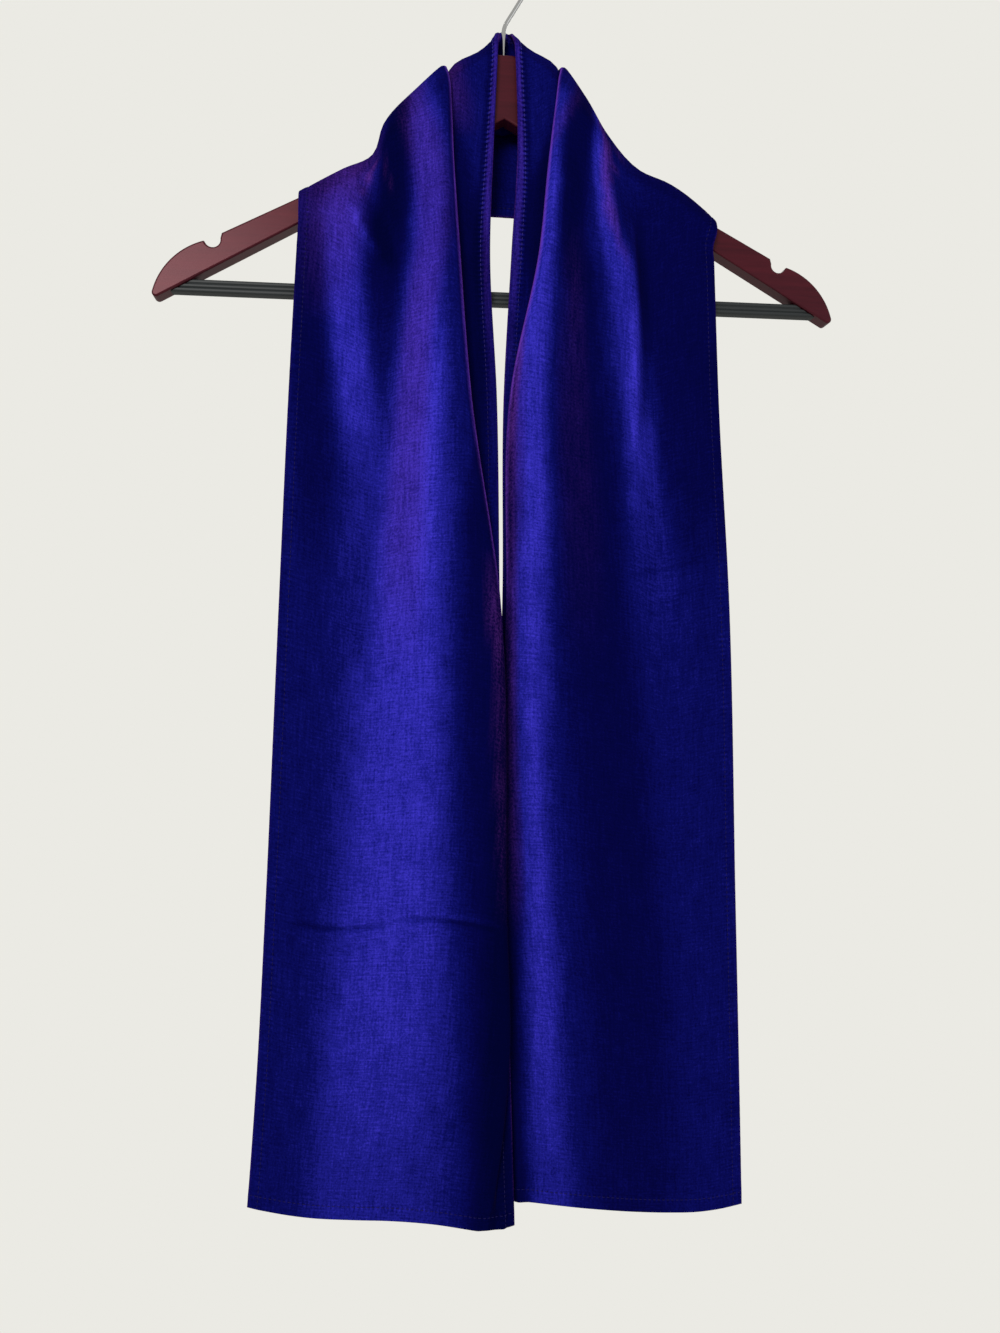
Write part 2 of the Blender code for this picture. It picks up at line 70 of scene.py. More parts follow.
# The wooden body, and how far apart the points on its outline are at most
WOOD_THICKNESS = 12.0
OUTLINE_SPACING = 12.0
NECK_HALF_WIDTH = 10.5
NECK_CORNER = 5.5
NECK_FILLET = 12.0
ARM_TOP_HEIGHT = -31.3
ARM_TOP_SLOPE = 0.518
ARM_UNDER_HEIGHT = -41.3
ARM_UNDER_SLOPE = 0.569
NOTCH_CENTRE = (185.4, -128.6)
NOTCH_RADIUS = 5.0
NOTCH_MOUTH = (179.6, -124.4)
NOTCH_LIP = (190.9, -129.7)
SHOULDER_POINT = (208.8, -140.0)
TIP_POINT = (222.5, -163.0)
TIP_CORNER = 2.6

# The ribbed bar, and the gap where it meets the arms
BAR_TOP_HEIGHT = -153.6
BAR_HEIGHT = 8.2
BAR_THICKNESS = 8.0
BAR_CORNER = 1.2
BAR_GROOVES = (-1.3, 1.3)
BAR_GROOVE_DEPTH = 0.6
BAR_GROOVE_WIDTH = 0.42
BAR_GAP = 0.3

# The scarf's cut, and the heights of the level sections on both hanging ends
CUT_WIDTH = 178.0
CUT_LENGTH = 1570.0
CHEST_HEIGHT = -130.0
RIBS_HEIGHT = -225.0
WAIST_HEIGHT = -355.0
KNEE_HEIGHT = -550.0
SHIN_HEIGHT = -655.0
# A shoulder's front foot is this many half depths of its arch below the arch's top, and its x is
# mostly the top's and the rest the yoke's
FOOT_DROP = 1.1
FOOT_SHARE = 0.7
# The yoke's height is halfway from the foot to the chest. The section behind the shoulder has its
# x, y and height between the arch's back foot and the nape, each by its own share of the nape.
YOKE_SHARE = 0.5
BEHIND_SHARES = (0.5, 0.7, 0.6)
# How far a fold line's slope pulls, counted in the shorter neighbouring chord
REACH = 1.6

# One row for each fold line of the cloth, from the outer edge to the inner edge.
# Shoulder: where the line crosses over the shoulder, the half depth of that arch, and where the
# line is behind it. back_drop is how far it has dropped there.
Shoulder = namedtuple("Shoulder", "name top_x top_z arch back_x back_drop")
# Across and Depth: x and y on each level section of the hanging end, and the hem's height
Across = namedtuple("Across", "name yoke chest ribs waist knee shin hem hem_height")
Depth = namedtuple("Depth", "name yoke chest ribs waist knee shin hem")
End = namedtuple("End", "side shoulder across depth")

LEFT_END = End(
    side=1.0,
    shoulder=[
        Shoulder("outer_edge", -131.5, -94.6, 11.6, -129.5, 4.0),
        Shoulder("outer_crest", -103.0, -77.8, 11.6, -98.0, 6.0),
        Shoulder("pinch", -84.5, -68.0, 11.6, -78.0, 7.0),
        Shoulder("roll", -77.0, -47.0, 11.5, -68.0, 8.0),
        Shoulder("crest", -56.0, -23.2, 14.0, -48.0, 9.0),
        Shoulder("ridge", -37.4, -8.0, 14.5, -30.8, 6.0),
        Shoulder("tuck", -44.4, -22.0, 10.0, -38.4, 6.0),
        Shoulder("strip", -31.6, -5.4, 10.0, -25.2, 2.0),
        Shoulder("band", -15.2, 4.6, 9.2, -12.0, -2.0),
        Shoulder("inner_edge", -2.6, 17.4, 8.2, -3.4, -5.0),
    ],
    across=[
        Across("outer_edge", -131.8, -132.5, -137.5, -143.4, -152.0, -157.5, -163.5, -738.0),
        Across("outer_crest", -105.0, -107.0, -107.0, -110.0, -118.0, -122.0, -126.0, -744.5),
        Across("pinch", -84.0, -82.0, -80.0, -82.0, -90.0, -93.0, -96.0, -746.0),
        Across("roll", -73.0, -70.0, -66.0, -64.0, -70.0, -73.0, -75.0, -747.0),
        Across("crest", -53.0, -50.0, -45.0, -38.0, -40.0, -43.0, -46.0, -750.0),
        Across("ridge", -34.0, -30.7, -23.4, -5.0, -0.9, 0.4, -16.0, -755.6),
        Across("tuck", -47.0, -49.0, -42.0, -23.0, -12.5, -6.5, -4.6, -757.0),
        Across("strip", -29.0, -29.0, -24.0, -15.5, -7.0, -1.2, -0.2, -756.6),
        Across("band", -16.5, -17.5, -13.5, -10.0, -4.0, 0.6, 2.4, -756.2),
        Across("inner_edge", -7.4, -9.8, -5.6, -3.9, -0.4, 2.8, 5.2, -755.5),
    ],
    depth=[
        Depth("outer_edge", -10.5, -10.0, -12.0, -12.0, -11.0, -10.0, -9.0),
        Depth("outer_crest", -14.5, -16.0, -17.5, -18.0, -17.0, -15.5, -13.5),
        Depth("pinch", -10.5, -12.0, -14.0, -16.0, -18.0, -18.0, -17.0),
        Depth("roll", -13.5, -15.0, -17.0, -18.0, -19.5, -19.5, -18.5),
        Depth("crest", -19.5, -21.0, -22.0, -22.5, -22.5, -22.0, -20.5),
        Depth("ridge", -18.5, -20.5, -21.5, -22.2, -22.2, -22.6, -21.0),
        Depth("tuck", -12.8, -14.8, -15.5, -16.4, -16.2, -15.6, -18.0),
        Depth("strip", -10.5, -11.5, -11.8, -12.6, -13.0, -13.8, -17.2),
        Depth("band", -9.6, -10.6, -12.0, -12.9, -13.4, -14.0, -17.0),
        Depth("inner_edge", -9.4, -10.0, -11.5, -12.8, -13.6, -14.2, -16.8),
    ],
)

RIGHT_END = End(
    side=-1.0,
    shoulder=[
        Shoulder("outer_edge", 141.4, -99.6, 11.6, 138.5, 4.0),
        Shoulder("outer_crest", 110.5, -76.2, 11.6, 104.0, 6.0),
        Shoulder("pinch", 89.0, -67.8, 11.6, 82.0, 7.0),
        Shoulder("roll", 67.0, -45.0, 12.0, 59.0, 8.0),
        Shoulder("crest", 53.5, -22.4, 13.5, 45.5, 9.0),
        Shoulder("ridge", 37.2, -4.0, 14.5, 31.0, 7.0),
        Shoulder("tuck", 44.4, -19.8, 10.0, 38.5, 7.0),
        Shoulder("strip", 33.0, -1.6, 10.0, 26.5, 3.0),
        Shoulder("band", 16.4, 7.9, 9.2, 13.0, -2.0),
        Shoulder("inner_edge", 5.0, 17.2, 8.2, 4.2, -5.0),
    ],
    across=[
        Across("outer_edge", 138.4, 139.2, 142.0, 148.7, 153.0, 155.5, 157.6, -754.0),
        Across("outer_crest", 112.0, 113.0, 117.0, 121.0, 125.0, 126.0, 127.0, -756.0),
        Across("pinch", 89.0, 91.0, 97.0, 102.0, 106.0, 107.0, 107.0, -755.0),
        Across("roll", 70.5, 75.5, 82.0, 86.0, 87.0, 86.5, 86.0, -753.0),
        Across("crest", 50.0, 47.0, 46.0, 47.0, 49.0, 49.0, 49.0, -748.5),
        Across("ridge", 27.3, 21.4, 2.5, 0.8, -4.0, 2.0, 12.0, -745.0),
        Across("tuck", 43.0, 39.0, 20.0, 17.0, 5.0, 1.0, 2.0, -745.0),
        Across("strip", 27.0, 22.0, 11.0, 10.0, -0.5, -3.0, -4.5, -744.0),
        Across("band", 15.5, 11.5, 5.5, 5.0, -4.0, -7.5, -10.5, -744.0),
        Across("inner_edge", 8.0, 4.0, -0.9, -1.0, -9.0, -13.0, -17.0, -744.0),
    ],
    depth=[
        Depth("outer_edge", -10.5, -9.6, -11.0, -12.0, -12.0, -11.5, -11.0),
        Depth("outer_crest", -13.5, -14.5, -14.5, -15.0, -15.0, -14.5, -14.0),
        Depth("pinch", -10.5, -11.0, -12.5, -14.0, -15.0, -15.0, -14.5),
        Depth("roll", -16.5, -18.5, -18.0, -17.0, -16.5, -16.0, -15.0),
        Depth("crest", -16.5, -15.5, -16.5, -17.5, -18.0, -16.5, -14.5),
        Depth("ridge", -17.5, -18.5, -17.0, -11.5, -7.0, -7.5, -10.0),
        Depth("tuck", -12.0, -12.3, -11.0, -5.5, -1.5, -3.0, -7.5),
        Depth("strip", -9.8, -9.4, -7.6, -2.0, 1.0, -1.0, -6.8),
        Depth("band", -9.4, -9.2, -7.5, -1.6, 1.0, -1.0, -6.4),
        Depth("inner_edge", -9.4, -9.6, -7.5, -1.5, 1.0, -1.0, -6.0),
    ],
)

# The same fold lines where they pass behind the neck, on the hanger's middle plane
NapePoint = namedtuple("NapePoint", "name y z")
NAPE = [
    NapePoint("outer_edge", 11.0, -98.5),
    NapePoint("outer_crest", 13.0, -83.0),
    NapePoint("pinch", 13.5, -69.0),
    NapePoint("roll", 14.5, -56.0),
    NapePoint("crest", 20.0, -41.0),
    NapePoint("ridge", 19.5, -20.0),
    NapePoint("tuck", 13.5, -42.0),
    NapePoint("strip", 9.8, -17.0),
    NapePoint("band", 9.0, 8.0),
    NapePoint("inner_edge", 8.8, 23.5),
]

# Sections along the scarf. "inward" points along the section to the inner edge and "outward"
# out of the cloth, both for the left end. "fold" is the radius of the pleat's two folds there,
# "opening" is 0 where the pleat is shut and 1 where it lies flat, and "rows" is the number of
# mesh rows from there to the next section.
Section = namedtuple("Section", "name inward outward fold opening rows")
FRONT_IN = (1.0, 0.0, 0.0)
FRONT_OUT = (0.0, -1.0, 0.0)
SECTIONS = [
    Section("hem", FRONT_IN, FRONT_OUT, 2.7, 1.0, 38),
    Section("shin", FRONT_IN, FRONT_OUT, 2.7, 0.5, 36),
    Section("knee", FRONT_IN, FRONT_OUT, 2.7, 0.0, 64),
    Section("waist", FRONT_IN, FRONT_OUT, 2.7, 0.0, 44),
    Section("ribs", FRONT_IN, FRONT_OUT, 2.6, 0.0, 34),
    Section("chest", FRONT_IN, FRONT_OUT, 2.5, 0.0, 16),
    Section("yoke", FRONT_IN, FRONT_OUT, 2.2, 0.0, 16),
    Section("front_foot", FRONT_IN, FRONT_OUT, 1.9, 0.0, 12),
    Section("top", (0.75, 0.0, 0.66), (-0.66, 0.0, 0.75), 1.6, 0.0, 10),
    Section("back_foot", (0.7, 0.0, 0.71), (0.0, 1.0, 0.0), 1.9, 0.0, 16),
    Section("behind", (0.35, 0.0, 0.94), (0.0, 1.0, 0.0), 2.4, 0.0, 16),
    Section("nape", (0.0, 0.0, 1.0), (0.0, 1.0, 0.0), 2.7, 0.0, 0),
]
# Mesh columns between neighbouring fold points, as shares of the whole
COLUMNS = (8, 6, 5, 8, 7, 3, 3, 6, 3, 3, 5, 4, 4)
# Distances in from a long edge and from a hem, in mm, of the close mesh lines that round the
# rim and carry the turning and its stitches
EDGE_LINES = (0.0, 0.12, 0.45, 1.0, 2.3, 4.0, 5.6, 6.5, 7.4, 9.0)
HEM_LINES = (0.0, 0.12, 0.45, 1.0, 2.0, 3.2, 4.6, 6.0, 7.2, 7.9, 8.5, 9.1, 10.0)
# Mesh columns and rows between those lines, and how much finer the surface is worked out first
MIDDLE_COLUMNS = 50
MIDDLE_ROWS = 1540
FINER = 4
# The mesh column, near the middle, on which the cloth is found to pass over the shoulders
CREST_COLUMN = 39

# Half thickness of the velvet, and of its turned and stitched edges
CLOTH_HALF = 0.5
TURNING_HALF = 0.95
EDGE_TURNING = 6.5
HEM_TURNING = 8.5
STITCH_GROOVE = 0.42
STITCH_GROOVE_WIDTH = 0.8
# The reverse's share of the groove, and how far from a rim the grooves along the other rims stop
REVERSE_GROOVE = 0.6
GROOVE_END = 3.0
THREAD_RADIUS = 0.22

# The ripple that the stitching draws into the cloth
PUCKER_HEIGHT = 0.32
PUCKER_PITCH = 7.4
PUCKER_REACH = 4.2

# How far beside a stitch line the pile is drawn down, and how plainly that shows on most lines
SEAM_REACH = 1.7
PLAIN_PULL = 0.25
# How much brighter the thread is painted where the stitches show fully, on the inner edge that rolls
# out to the light: a painted highlight
THREAD_HIGHLIGHT = 0.6
# Mesh rows, counted from a hem, that hold the hem's stitch line
HEM_ROWS = 400

# The pile's plain tone, from 0 to 1, and how much painted highlight is added where the cloth faces
# the viewer, and likewise where it faces straight away
NAP_PLAIN = 0.31
FACING_HIGHLIGHT = 0.08
FACING_FROM = 0.86
# The inner edge rolls out to the light between these distances from the hem. Beside the edge are a
# painted highlight on the turning and a painted shade line behind the stitches, each (distance, width,
# tone).
ROLL_START = 480.0
ROLL_FULL = 680.0
ROLL_HIGHLIGHT = (3.0, 2.2, 0.2)
ROLL_SHADE = (9.0, 1.8, -0.16)
# How much painted pink sheen, in the ground's colour, shows at the rims and how wide, and on the rolled
# turning beside its painted highlight
RIM_SHEEN = 0.35
RIM_WIDTH = 1.2
ROLL_SHEEN = 0.18

# How much painted highlight a crease 1 mm high puts on the pile, and painted shade where a crease is a
# trough
CREASE_LIGHT_AND_SHADE = 0.16
# Creases in the cloth, each a soft line from (across0, along0) to (across1, along1): millimetres
# from the outer edge and from that end's hem. A height above 0 is a ridge, below 0 a trough.
Crease = namedtuple("Crease", "end across0 along0 across1 along1 width height bow")
CREASES = [
    Crease("left", 16.0, 184.0, 78.0, 186.0, 1.8, -0.95, 2.5),
    Crease("left", 84.0, 190.0, 160.0, 190.0, 1.8, -0.9, -1.5),
    Crease("left", 110.0, 195.0, 168.0, 188.0, 2.6, 0.8, -2.0),
    Crease("left", 34.0, 640.0, 52.0, 610.0, 3.0, 1.4, 1.5),
    Crease("left", 44.0, 655.0, 62.0, 600.0, 4.0, -1.2, 2.0),
    Crease("left", 96.0, 560.0, 92.0, 400.0, 7.0, 0.9, 3.0),
    Crease("left", 60.0, 520.0, 56.0, 330.0, 8.0, -0.9, 3.0),
    Crease("right", 18.0, 430.0, 66.0, 416.0, 2.6, -0.35, 2.0),
    Crease("right", 24.0, 420.0, 58.0, 398.0, 2.4, 0.35, 2.0),
    Crease("right", 60.0, 655.0, 62.0, 500.0, 3.5, 1.4, 2.0),
    Crease("right", 52.0, 650.0, 50.0, 520.0, 3.5, -1.4, 2.0),
]

# Bands of painted highlight (tone above 0) and painted shade (below 0) where the folds catch or lose the
# light, from the hem up. Each point is (along, across, outer, inner, tone): along and across are
# millimetres from that end's hem and from the outer edge, and outer and inner are how far the band
# reaches to each side.
Band = namedtuple("Band", "end points")
LIGHT_AND_SHADE_BANDS = [
    Band("left", [
        (20, 68, 32, 58, 0.23), (60, 70, 33, 50, 0.3), (110, 78, 40, 43, 0.35), (160, 78, 36, 41, 0.37),
        (220, 82, 40, 33, 0.39), (290, 83, 38, 29, 0.4), (350, 82, 37, 27, 0.42),
        (400, 80, 36, 28, 0.4), (450, 78, 38, 29, 0.37), (500, 82, 23, 23, 0.35),
        (550, 84, 17, 16, 0.37), (590, 84, 14, 13, 0.35), (630, 85, 12, 10, 0.31),
        (660, 91, 10, 10, 0.33), (690, 101, 10, 10, 0.28), (720, 112, 12, 10, 0.28),
        (770, 118, 10, 9, 0.0),
    ]),
    Band("left", [
        (455, 50, 12, 12, 0.0), (500, 45, 12, 15, 0.37), (550, 37, 12, 13, 0.4),
        (590, 33, 13, 11, 0.36), (630, 31, 15, 11, 0.33), (655, 40, 18, 14, 0.2),
        (680, 46, 12, 12, 0.0),
    ]),
    Band("left", [
        (400, 18, 12, 14, 0.0), (450, 20, 12, 14, -0.12), (520, 15, 12, 11, -0.16),
        (580, 10, 10, 9, -0.16), (630, 6, 8, 8, 0.0),
    ]),
    Band("left", [
        (510, 59, 8, 8, 0.0), (560, 59, 9, 9, -0.07), (590, 58, 10, 10, -0.2), (630, 59, 12, 12, -0.3),
        (660, 69, 10, 10, -0.32), (690, 83, 7, 8, -0.3), (715, 93, 6, 7, -0.2), (745, 100, 6, 6, 0.0),
    ]),
    Band("left", [
        (0, 162, 24, 30, -0.08), (60, 156, 22, 30, -0.16), (160, 150, 24, 30, -0.18),
        (290, 142, 24, 30, -0.18), (400, 135, 20, 30, -0.2), (450, 132, 16, 26, -0.25),
        (500, 128, 9, 20, -0.2), (560, 122, 8, 12, -0.13), (640, 111, 9, 9, -0.16),
        (700, 122, 7, 8, -0.15), (740, 128, 6, 8, 0.0),
    ]),
    Band("left", [
        (420, 160, 20, 14, -0.25), (560, 158, 20, 13, -0.3), (620, 152, 18, 14, -0.3),
        (670, 146, 12, 10, -0.18), (760, 146, 10, 8, 0.0),
    ]),
    Band("right", [
        (20, 134, 20, 11, 0.24), (60, 135, 18, 11, 0.33), (110, 134, 15, 11, 0.38),
        (160, 134, 13, 11, 0.4), (220, 135, 13, 11, 0.39), (290, 137, 12, 10, 0.44),
        (400, 136, 13, 11, 0.43), (450, 130, 13, 10, 0.43), (500, 130, 12, 10, 0.42),
        (590, 125, 11, 9, 0.42), (630, 119, 10, 8, 0.4), (660, 120, 9, 9, 0.36), (690, 131, 9, 8, 0.34),
        (720, 140, 9, 8, 0.2), (750, 142, 9, 8, 0.0),
    ]),
    Band("right", [
        (0, 76, 34, 26, -0.12), (160, 78, 32, 26, -0.16), (290, 84, 26, 26, -0.17),
        (400, 94, 24, 19, -0.18), (500, 93, 21, 19, -0.2), (550, 91, 11, 16, -0.15),
        (590, 93, 10, 12, -0.2), (630, 99, 9, 10, -0.27), (660, 103, 9, 8, -0.3),
        (690, 112, 9, 9, -0.25), (715, 121, 9, 9, -0.2), (745, 124, 8, 8, 0.0),
    ]),
    Band("right", [
        (330, 48, 22, 18, 0.0), (400, 51, 20, 18, 0.08), (450, 53, 14, 16, 0.17),
        (500, 56, 12, 12, 0.32), (550, 58, 14, 14, 0.31), (590, 66, 14, 10, 0.33),
        (630, 74, 9, 7, 0.36), (660, 83, 7, 6, 0.38), (690, 99, 6, 5, 0.34), (715, 109, 5, 5, 0.28),
        (740, 115, 5, 5, 0.0),
    ]),
    Band("right", [
        (400, 10, 30, 34, 0.0), (470, 10, 30, 34, -0.14), (560, 12, 30, 40, -0.17),
        (660, 20, 30, 50, -0.14), (710, 24, 30, 50, 0.0),
    ]),
    Band("right", [
        (420, 160, 20, 13, -0.25), (700, 158, 18, 10, -0.3), (760, 158, 18, 10, 0.0),
    ]),
]
# Bands where folds have crushed the pile, so that the purple red ground shows, and where the same tint
# is a painted pink sheen along fold edges
GROUND_AND_SHEEN_BANDS = [
    Band("left", [
        (190, 150, 3, 5, 0.0), (240, 148, 3.5, 5, 0.25), (300, 144, 4, 5, 0.3), (350, 144, 5, 6, 0.4),
        (385, 139, 6, 7, 0.55), (430, 133, 4, 5, 0.0),
    ]),
    Band("left", [
        (700, 150, 12, 12, 0.0), (745, 158, 12, 16, 0.4), (780, 158, 12, 16, 0.0),
    ]),
    Band("left", [
        (340, 78, 14, 13, 0.0), (430, 78, 14, 13, 0.12), (560, 80, 9, 10, 0.17), (640, 88, 9, 12, 0.12),
        (745, 104, 9, 12, 0.22), (780, 104, 9, 12, 0.0),
    ]),
    Band("left", [
        (560, 20, 16, 16, 0.0), (640, 24, 22, 18, 0.2), (665, 34, 22, 18, 0.34), (690, 50, 20, 20, 0.2),
        (730, 60, 20, 20, 0.0),
    ]),
    Band("right", [
        (170, 148, 4, 5, 0.0), (230, 149, 4, 5, 0.18), (350, 148, 4, 6, 0.22), (450, 144, 5, 6, 0.22),
        (510, 142, 5, 6, 0.5), (560, 136, 4, 6, 0.4), (620, 128, 4, 4, 0.1),
    ]),
    Band("right", [
        (350, 99, 12, 12, 0.0), (450, 99, 12, 12, 0.05), (600, 99, 5, 5, 0.1), (640, 98, 5, 5, 0.0),
    ]),
    Band("right", [
        (610, 62, 3, 3, 0.0), (650, 76, 3, 3, 0.3), (690, 93, 3, 3, 0.4), (720, 106, 3, 3, 0.3),
        (745, 112, 3, 3, 0.0),
    ]),
]
# Short streaks near the shoulders: crushed pile, and the painted pink highlight of drag folds
Mark = namedtuple("Mark", "end across0 along0 across1 along1 width tone bow")
CRUSH_AND_SHEEN_MARKS = [
    Mark("left", 60.0, 672.0, 44.0, 646.0, 1.5, 0.5, 2.0),
    Mark("left", 70.0, 690.0, 66.0, 650.0, 1.5, 0.25, 1.5),
    Mark("right", 85.0, 715.0, 80.0, 640.0, 1.5, 0.2, 0.0),
]
# A painted highlight line on the pleat's ridge, with a painted pink sheen: its place and half width,
# counted in spans, the distances from the hem between which it fades in, and how much painted
# highlight and ground tint show on it
RIDGE_LINE = 5.8
RIDGE_LINE_WIDTH = 0.3
RIDGE_START = 360.0
RIDGE_FULL = 430.0
RIDGE_HIGHLIGHT = 0.75
RIDGE_SHEEN = 0.8

# Unevenness of the velvet's tone: (patch size across and along in mm, detail, roughness, strength).
# Threads lie 0.3 mm apart, too fine to show, so the pile's tufts are drawn about 1 mm wide.
TUFTS = (1.2, 1.6, 3.0, 0.65, 0.75)
WEFT = (11.0, 1.0, 2.0, 0.5, 0.42)
WARP = (1.5, 22.0, 2.0, 0.5, 0.36)
WORN = (14.0, 26.0, 4.0, 0.62, 0.3)
# How much painted highlight the puffs between the stitches get, with painted shade at each stitch
PUFF_HIGHLIGHT = 0.26


def srgb(code, alpha=1.0):
    """Linear RGBA of an sRGB hex colour."""
    channels = [int(code[i:i + 2], 16) / 255.0 for i in (0, 2, 4)]
    return tuple(c / 12.92 if c <= 0.04045 else ((c + 0.055) / 1.055) ** 2.4 for c in channels) + (alpha,)


def smooth(value, low, high):
    """0 below low, 1 above high, and a smooth step between them."""
    t = np.clip((value - low) / (high - low), 0.0, 1.0)
    return t * t * (3.0 - 2.0 * t)


def peak(value, middle, width):
    """1 at the middle and a bell's fall to both sides of it."""
    return np.exp(-((value - middle) / width)**2)


def on_end(left, row):
    """Which points are on the end that a table's row names; left holds those on the left end."""
    return left if row.end == "left" else ~left


def mix(first, second, share):
    """Between two values, by the second's share."""
    return (1.0 - share) * first + share * second


def even(count):
    """Places of evenly spaced mesh rows on one span, its far end left to the next span."""
    return tuple(i / count for i in range(count))


def arc(centre, radius, start, end, steps):
    """Points on an arc, angles in radians, both ends included."""
    angles = np.linspace(start, end, steps + 1)
    return [(centre[0] + radius * math.cos(a), centre[1] + radius * math.sin(a)) for a in angles]


def arc_through(first, middle, last, steps):
    """Points on the arc through three points, both ends included."""
    (ax, az), (bx, bz), (cx, cz) = first, middle, last
    lhs = np.array([[bx - ax, bz - az], [cx - bx, cz - bz]])
    rhs = 0.5 * np.array([bx**2 - ax**2 + bz**2 - az**2, cx**2 - bx**2 + cz**2 - bz**2])
    centre = np.linalg.solve(lhs, rhs)
    radius = math.hypot(ax - centre[0], az - centre[1])
    start = math.atan2(az - centre[1], ax - centre[0])
    end = math.atan2(cz - centre[1], cx - centre[0])
    return arc(centre, radius, start, end, steps)


def place(points):
    """Turns table millimetres, heights from the neck's top, into metres from the hook's crown."""
    return (np.asarray(points, dtype=float) - np.array([0.0, 0.0, CROWN_HEIGHT])) * MM


def unit(vectors):
    """The vectors at length 1."""
    return vectors / np.maximum(np.linalg.norm(vectors, axis=-1, keepdims=True), 1e-9)


def quads(index):
    """Faces of a grid of vertex numbers, one quad for each cell."""
    corners = (index[:-1, :-1], index[:-1, 1:], index[1:, 1:], index[1:, :-1])
    return np.stack(corners, axis=-1).reshape(-1, 4)


def add_attribute(mesh, name, values):
    """A number for each vertex, which a material reads by name."""
    attribute = mesh.attributes.new(name, "FLOAT", "POINT")
    attribute.data.foreach_set("value", np.asarray(values, dtype=np.float32).ravel())


def add_object(name, mesh, material):
    """An object of a mesh and its material, linked to the scene."""
    mesh.materials.append(material)
    new = bpy.data.objects.new(name, mesh)
    bpy.context.scene.collection.objects.link(new)
    return new


def add_piece(name, points, faces, material, fields=None):
    """A smooth shaded mesh from points in metres, welded and riding on the part's one body."""
    mesh = bpy.data.meshes.new(name)
    mesh.from_pydata(points.reshape(-1, 3).tolist(), [], faces)
    for field, values in (fields or {}).items():
        add_attribute(mesh, field, values)
    built = bmesh.new()
    built.from_mesh(mesh)
    bmesh.ops.remove_doubles(built, verts=built.verts, dist=WELD)
    built.to_mesh(mesh)
    built.free()
    mesh.shade_smooth()
    piece = add_object(name, mesh, material)
    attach(piece, "root")
    return piece


def add_uv(piece, name, uv):
    """A UV map from one pair of numbers for each vertex."""
    loops = np.empty(len(piece.data.loops), dtype=np.int32)
    piece.data.loops.foreach_get("vertex_index", loops)
    layer = piece.data.uv_layers.new(name=name)
    layer.data.foreach_set("uv", uv.reshape(-1, 2)[loops].astype(np.float32).ravel())


def section_points(end, section_name):
    """The fold lines' places on one section of a hanging end, one point for each fold line."""
    points = []
    for shoulder, across, depth, nape in zip(end.shoulder, end.across, end.depth, NAPE):
        foot = (mix(across.yoke, shoulder.top_x, FOOT_SHARE), -shoulder.arch,
                shoulder.top_z - FOOT_DROP * shoulder.arch)
        behind_z = shoulder.top_z - shoulder.back_drop
        places = {
            "hem": (across.hem, depth.hem, across.hem_height),
            "shin": (across.shin, depth.shin, SHIN_HEIGHT),
            "knee": (across.knee, depth.knee, KNEE_HEIGHT),
            "waist": (across.waist, depth.waist, WAIST_HEIGHT),
            "ribs": (across.ribs, depth.ribs, RIBS_HEIGHT),
            "chest": (across.chest, depth.chest, CHEST_HEIGHT),
            "yoke": (across.yoke, depth.yoke, mix(foot[2], CHEST_HEIGHT, YOKE_SHARE)),
            "front_foot": foot,
            "top": (shoulder.top_x, 0.0, shoulder.top_z),
            "back_foot": (shoulder.back_x, shoulder.arch, behind_z),
            "behind": tuple(mix(*pair) for pair in zip((shoulder.back_x, shoulder.arch, behind_z),
                                                       (0.0, nape.y, nape.z), BEHIND_SHARES)),
            "nape": (0.0, nape.y, nape.z),
        }
        points.append(places[section_name])
    return points


def with_pleat(end, section):
    """One section's points, the pleat's ridge and tuck rounded to three points each."""
    inward = np.array(section.inward) * (end.side, 1.0, 1.0)
    outward = np.array(section.outward) * (end.side, 1.0, 1.0)
    across = section.fold * inward
    through = section.fold * (1.0 - section.opening) * outward
    turned = 1.0 - 2.0 * section.opening
    rounded = []
    for nape, point in zip(NAPE, section_points(end, section.name)):
        point = np.array(point)
        if nape.name == "ridge":
            rounded += [point - across + through, point, point - turned * across - through]
        elif nape.name == "tuck":
            rounded += [point + turned * across + through, point, point + across - through]
        else:
            rounded.append(point)
    return np.array(rounded)


def flow(points, places):
    """A smooth curve through points along axis 0, read at the given places on each span.

    Each span is a cubic. Its end slopes point along the mean of the neighbouring chords, the
    shorter chord counting more, and pull as far as the span's own chord, or REACH times the
    neighbouring chord where that is less.
    """
    chords = np.diff(points, axis=0)
    lengths = np.maximum(np.linalg.norm(chords, axis=-1, keepdims=True), 1e-6)
    speeds = chords / lengths
    inner = (speeds[:-1] * lengths[1:] + speeds[1:] * lengths[:-1]) / (lengths[:-1] + lengths[1:])
    slopes = np.concatenate([2.0 * speeds[:1] - inner[:1], inner, 2.0 * speeds[-1:] - inner[-1:]])
    slopes = unit(slopes)
    pulls_out = np.concatenate([lengths[:1], np.minimum(lengths[1:], REACH * lengths[:-1])])
    pulls_in = np.concatenate([np.minimum(lengths[:-1], REACH * lengths[1:]), lengths[-1:]])
    pieces = []
    for span, where in enumerate(places):
        t = np.array(where).reshape((-1,) + (1,) * (points.ndim - 1))
        leaving = pulls_out[span] * slopes[span]
        arriving = pulls_in[span] * slopes[span + 1]
        pieces.append((2 * t**3 - 3 * t**2 + 1) * points[span] + (t**3 - 2 * t**2 + t) * leaving
                      + (3 * t**2 - 2 * t**3) * points[span + 1] + (t**3 - t**2) * arriving)
    pieces.append(points[-1:])
    return np.concatenate(pieces)


def run_lengths(points, axis):
    """Distance along the cloth from the first point, on every line of one grid direction."""
    steps = np.linalg.norm(np.diff(points, axis=axis), axis=-1)
    start = np.zeros_like(np.take(steps, [0], axis=axis))
    return np.cumsum(np.concatenate([start, steps], axis=axis), axis=axis)


def grid_normals(points):
    """Unit normals out of the pile side: the step to the next column crossed with the next row."""
    return unit(np.cross(np.gradient(points, axis=1), np.gradient(points, axis=0)))


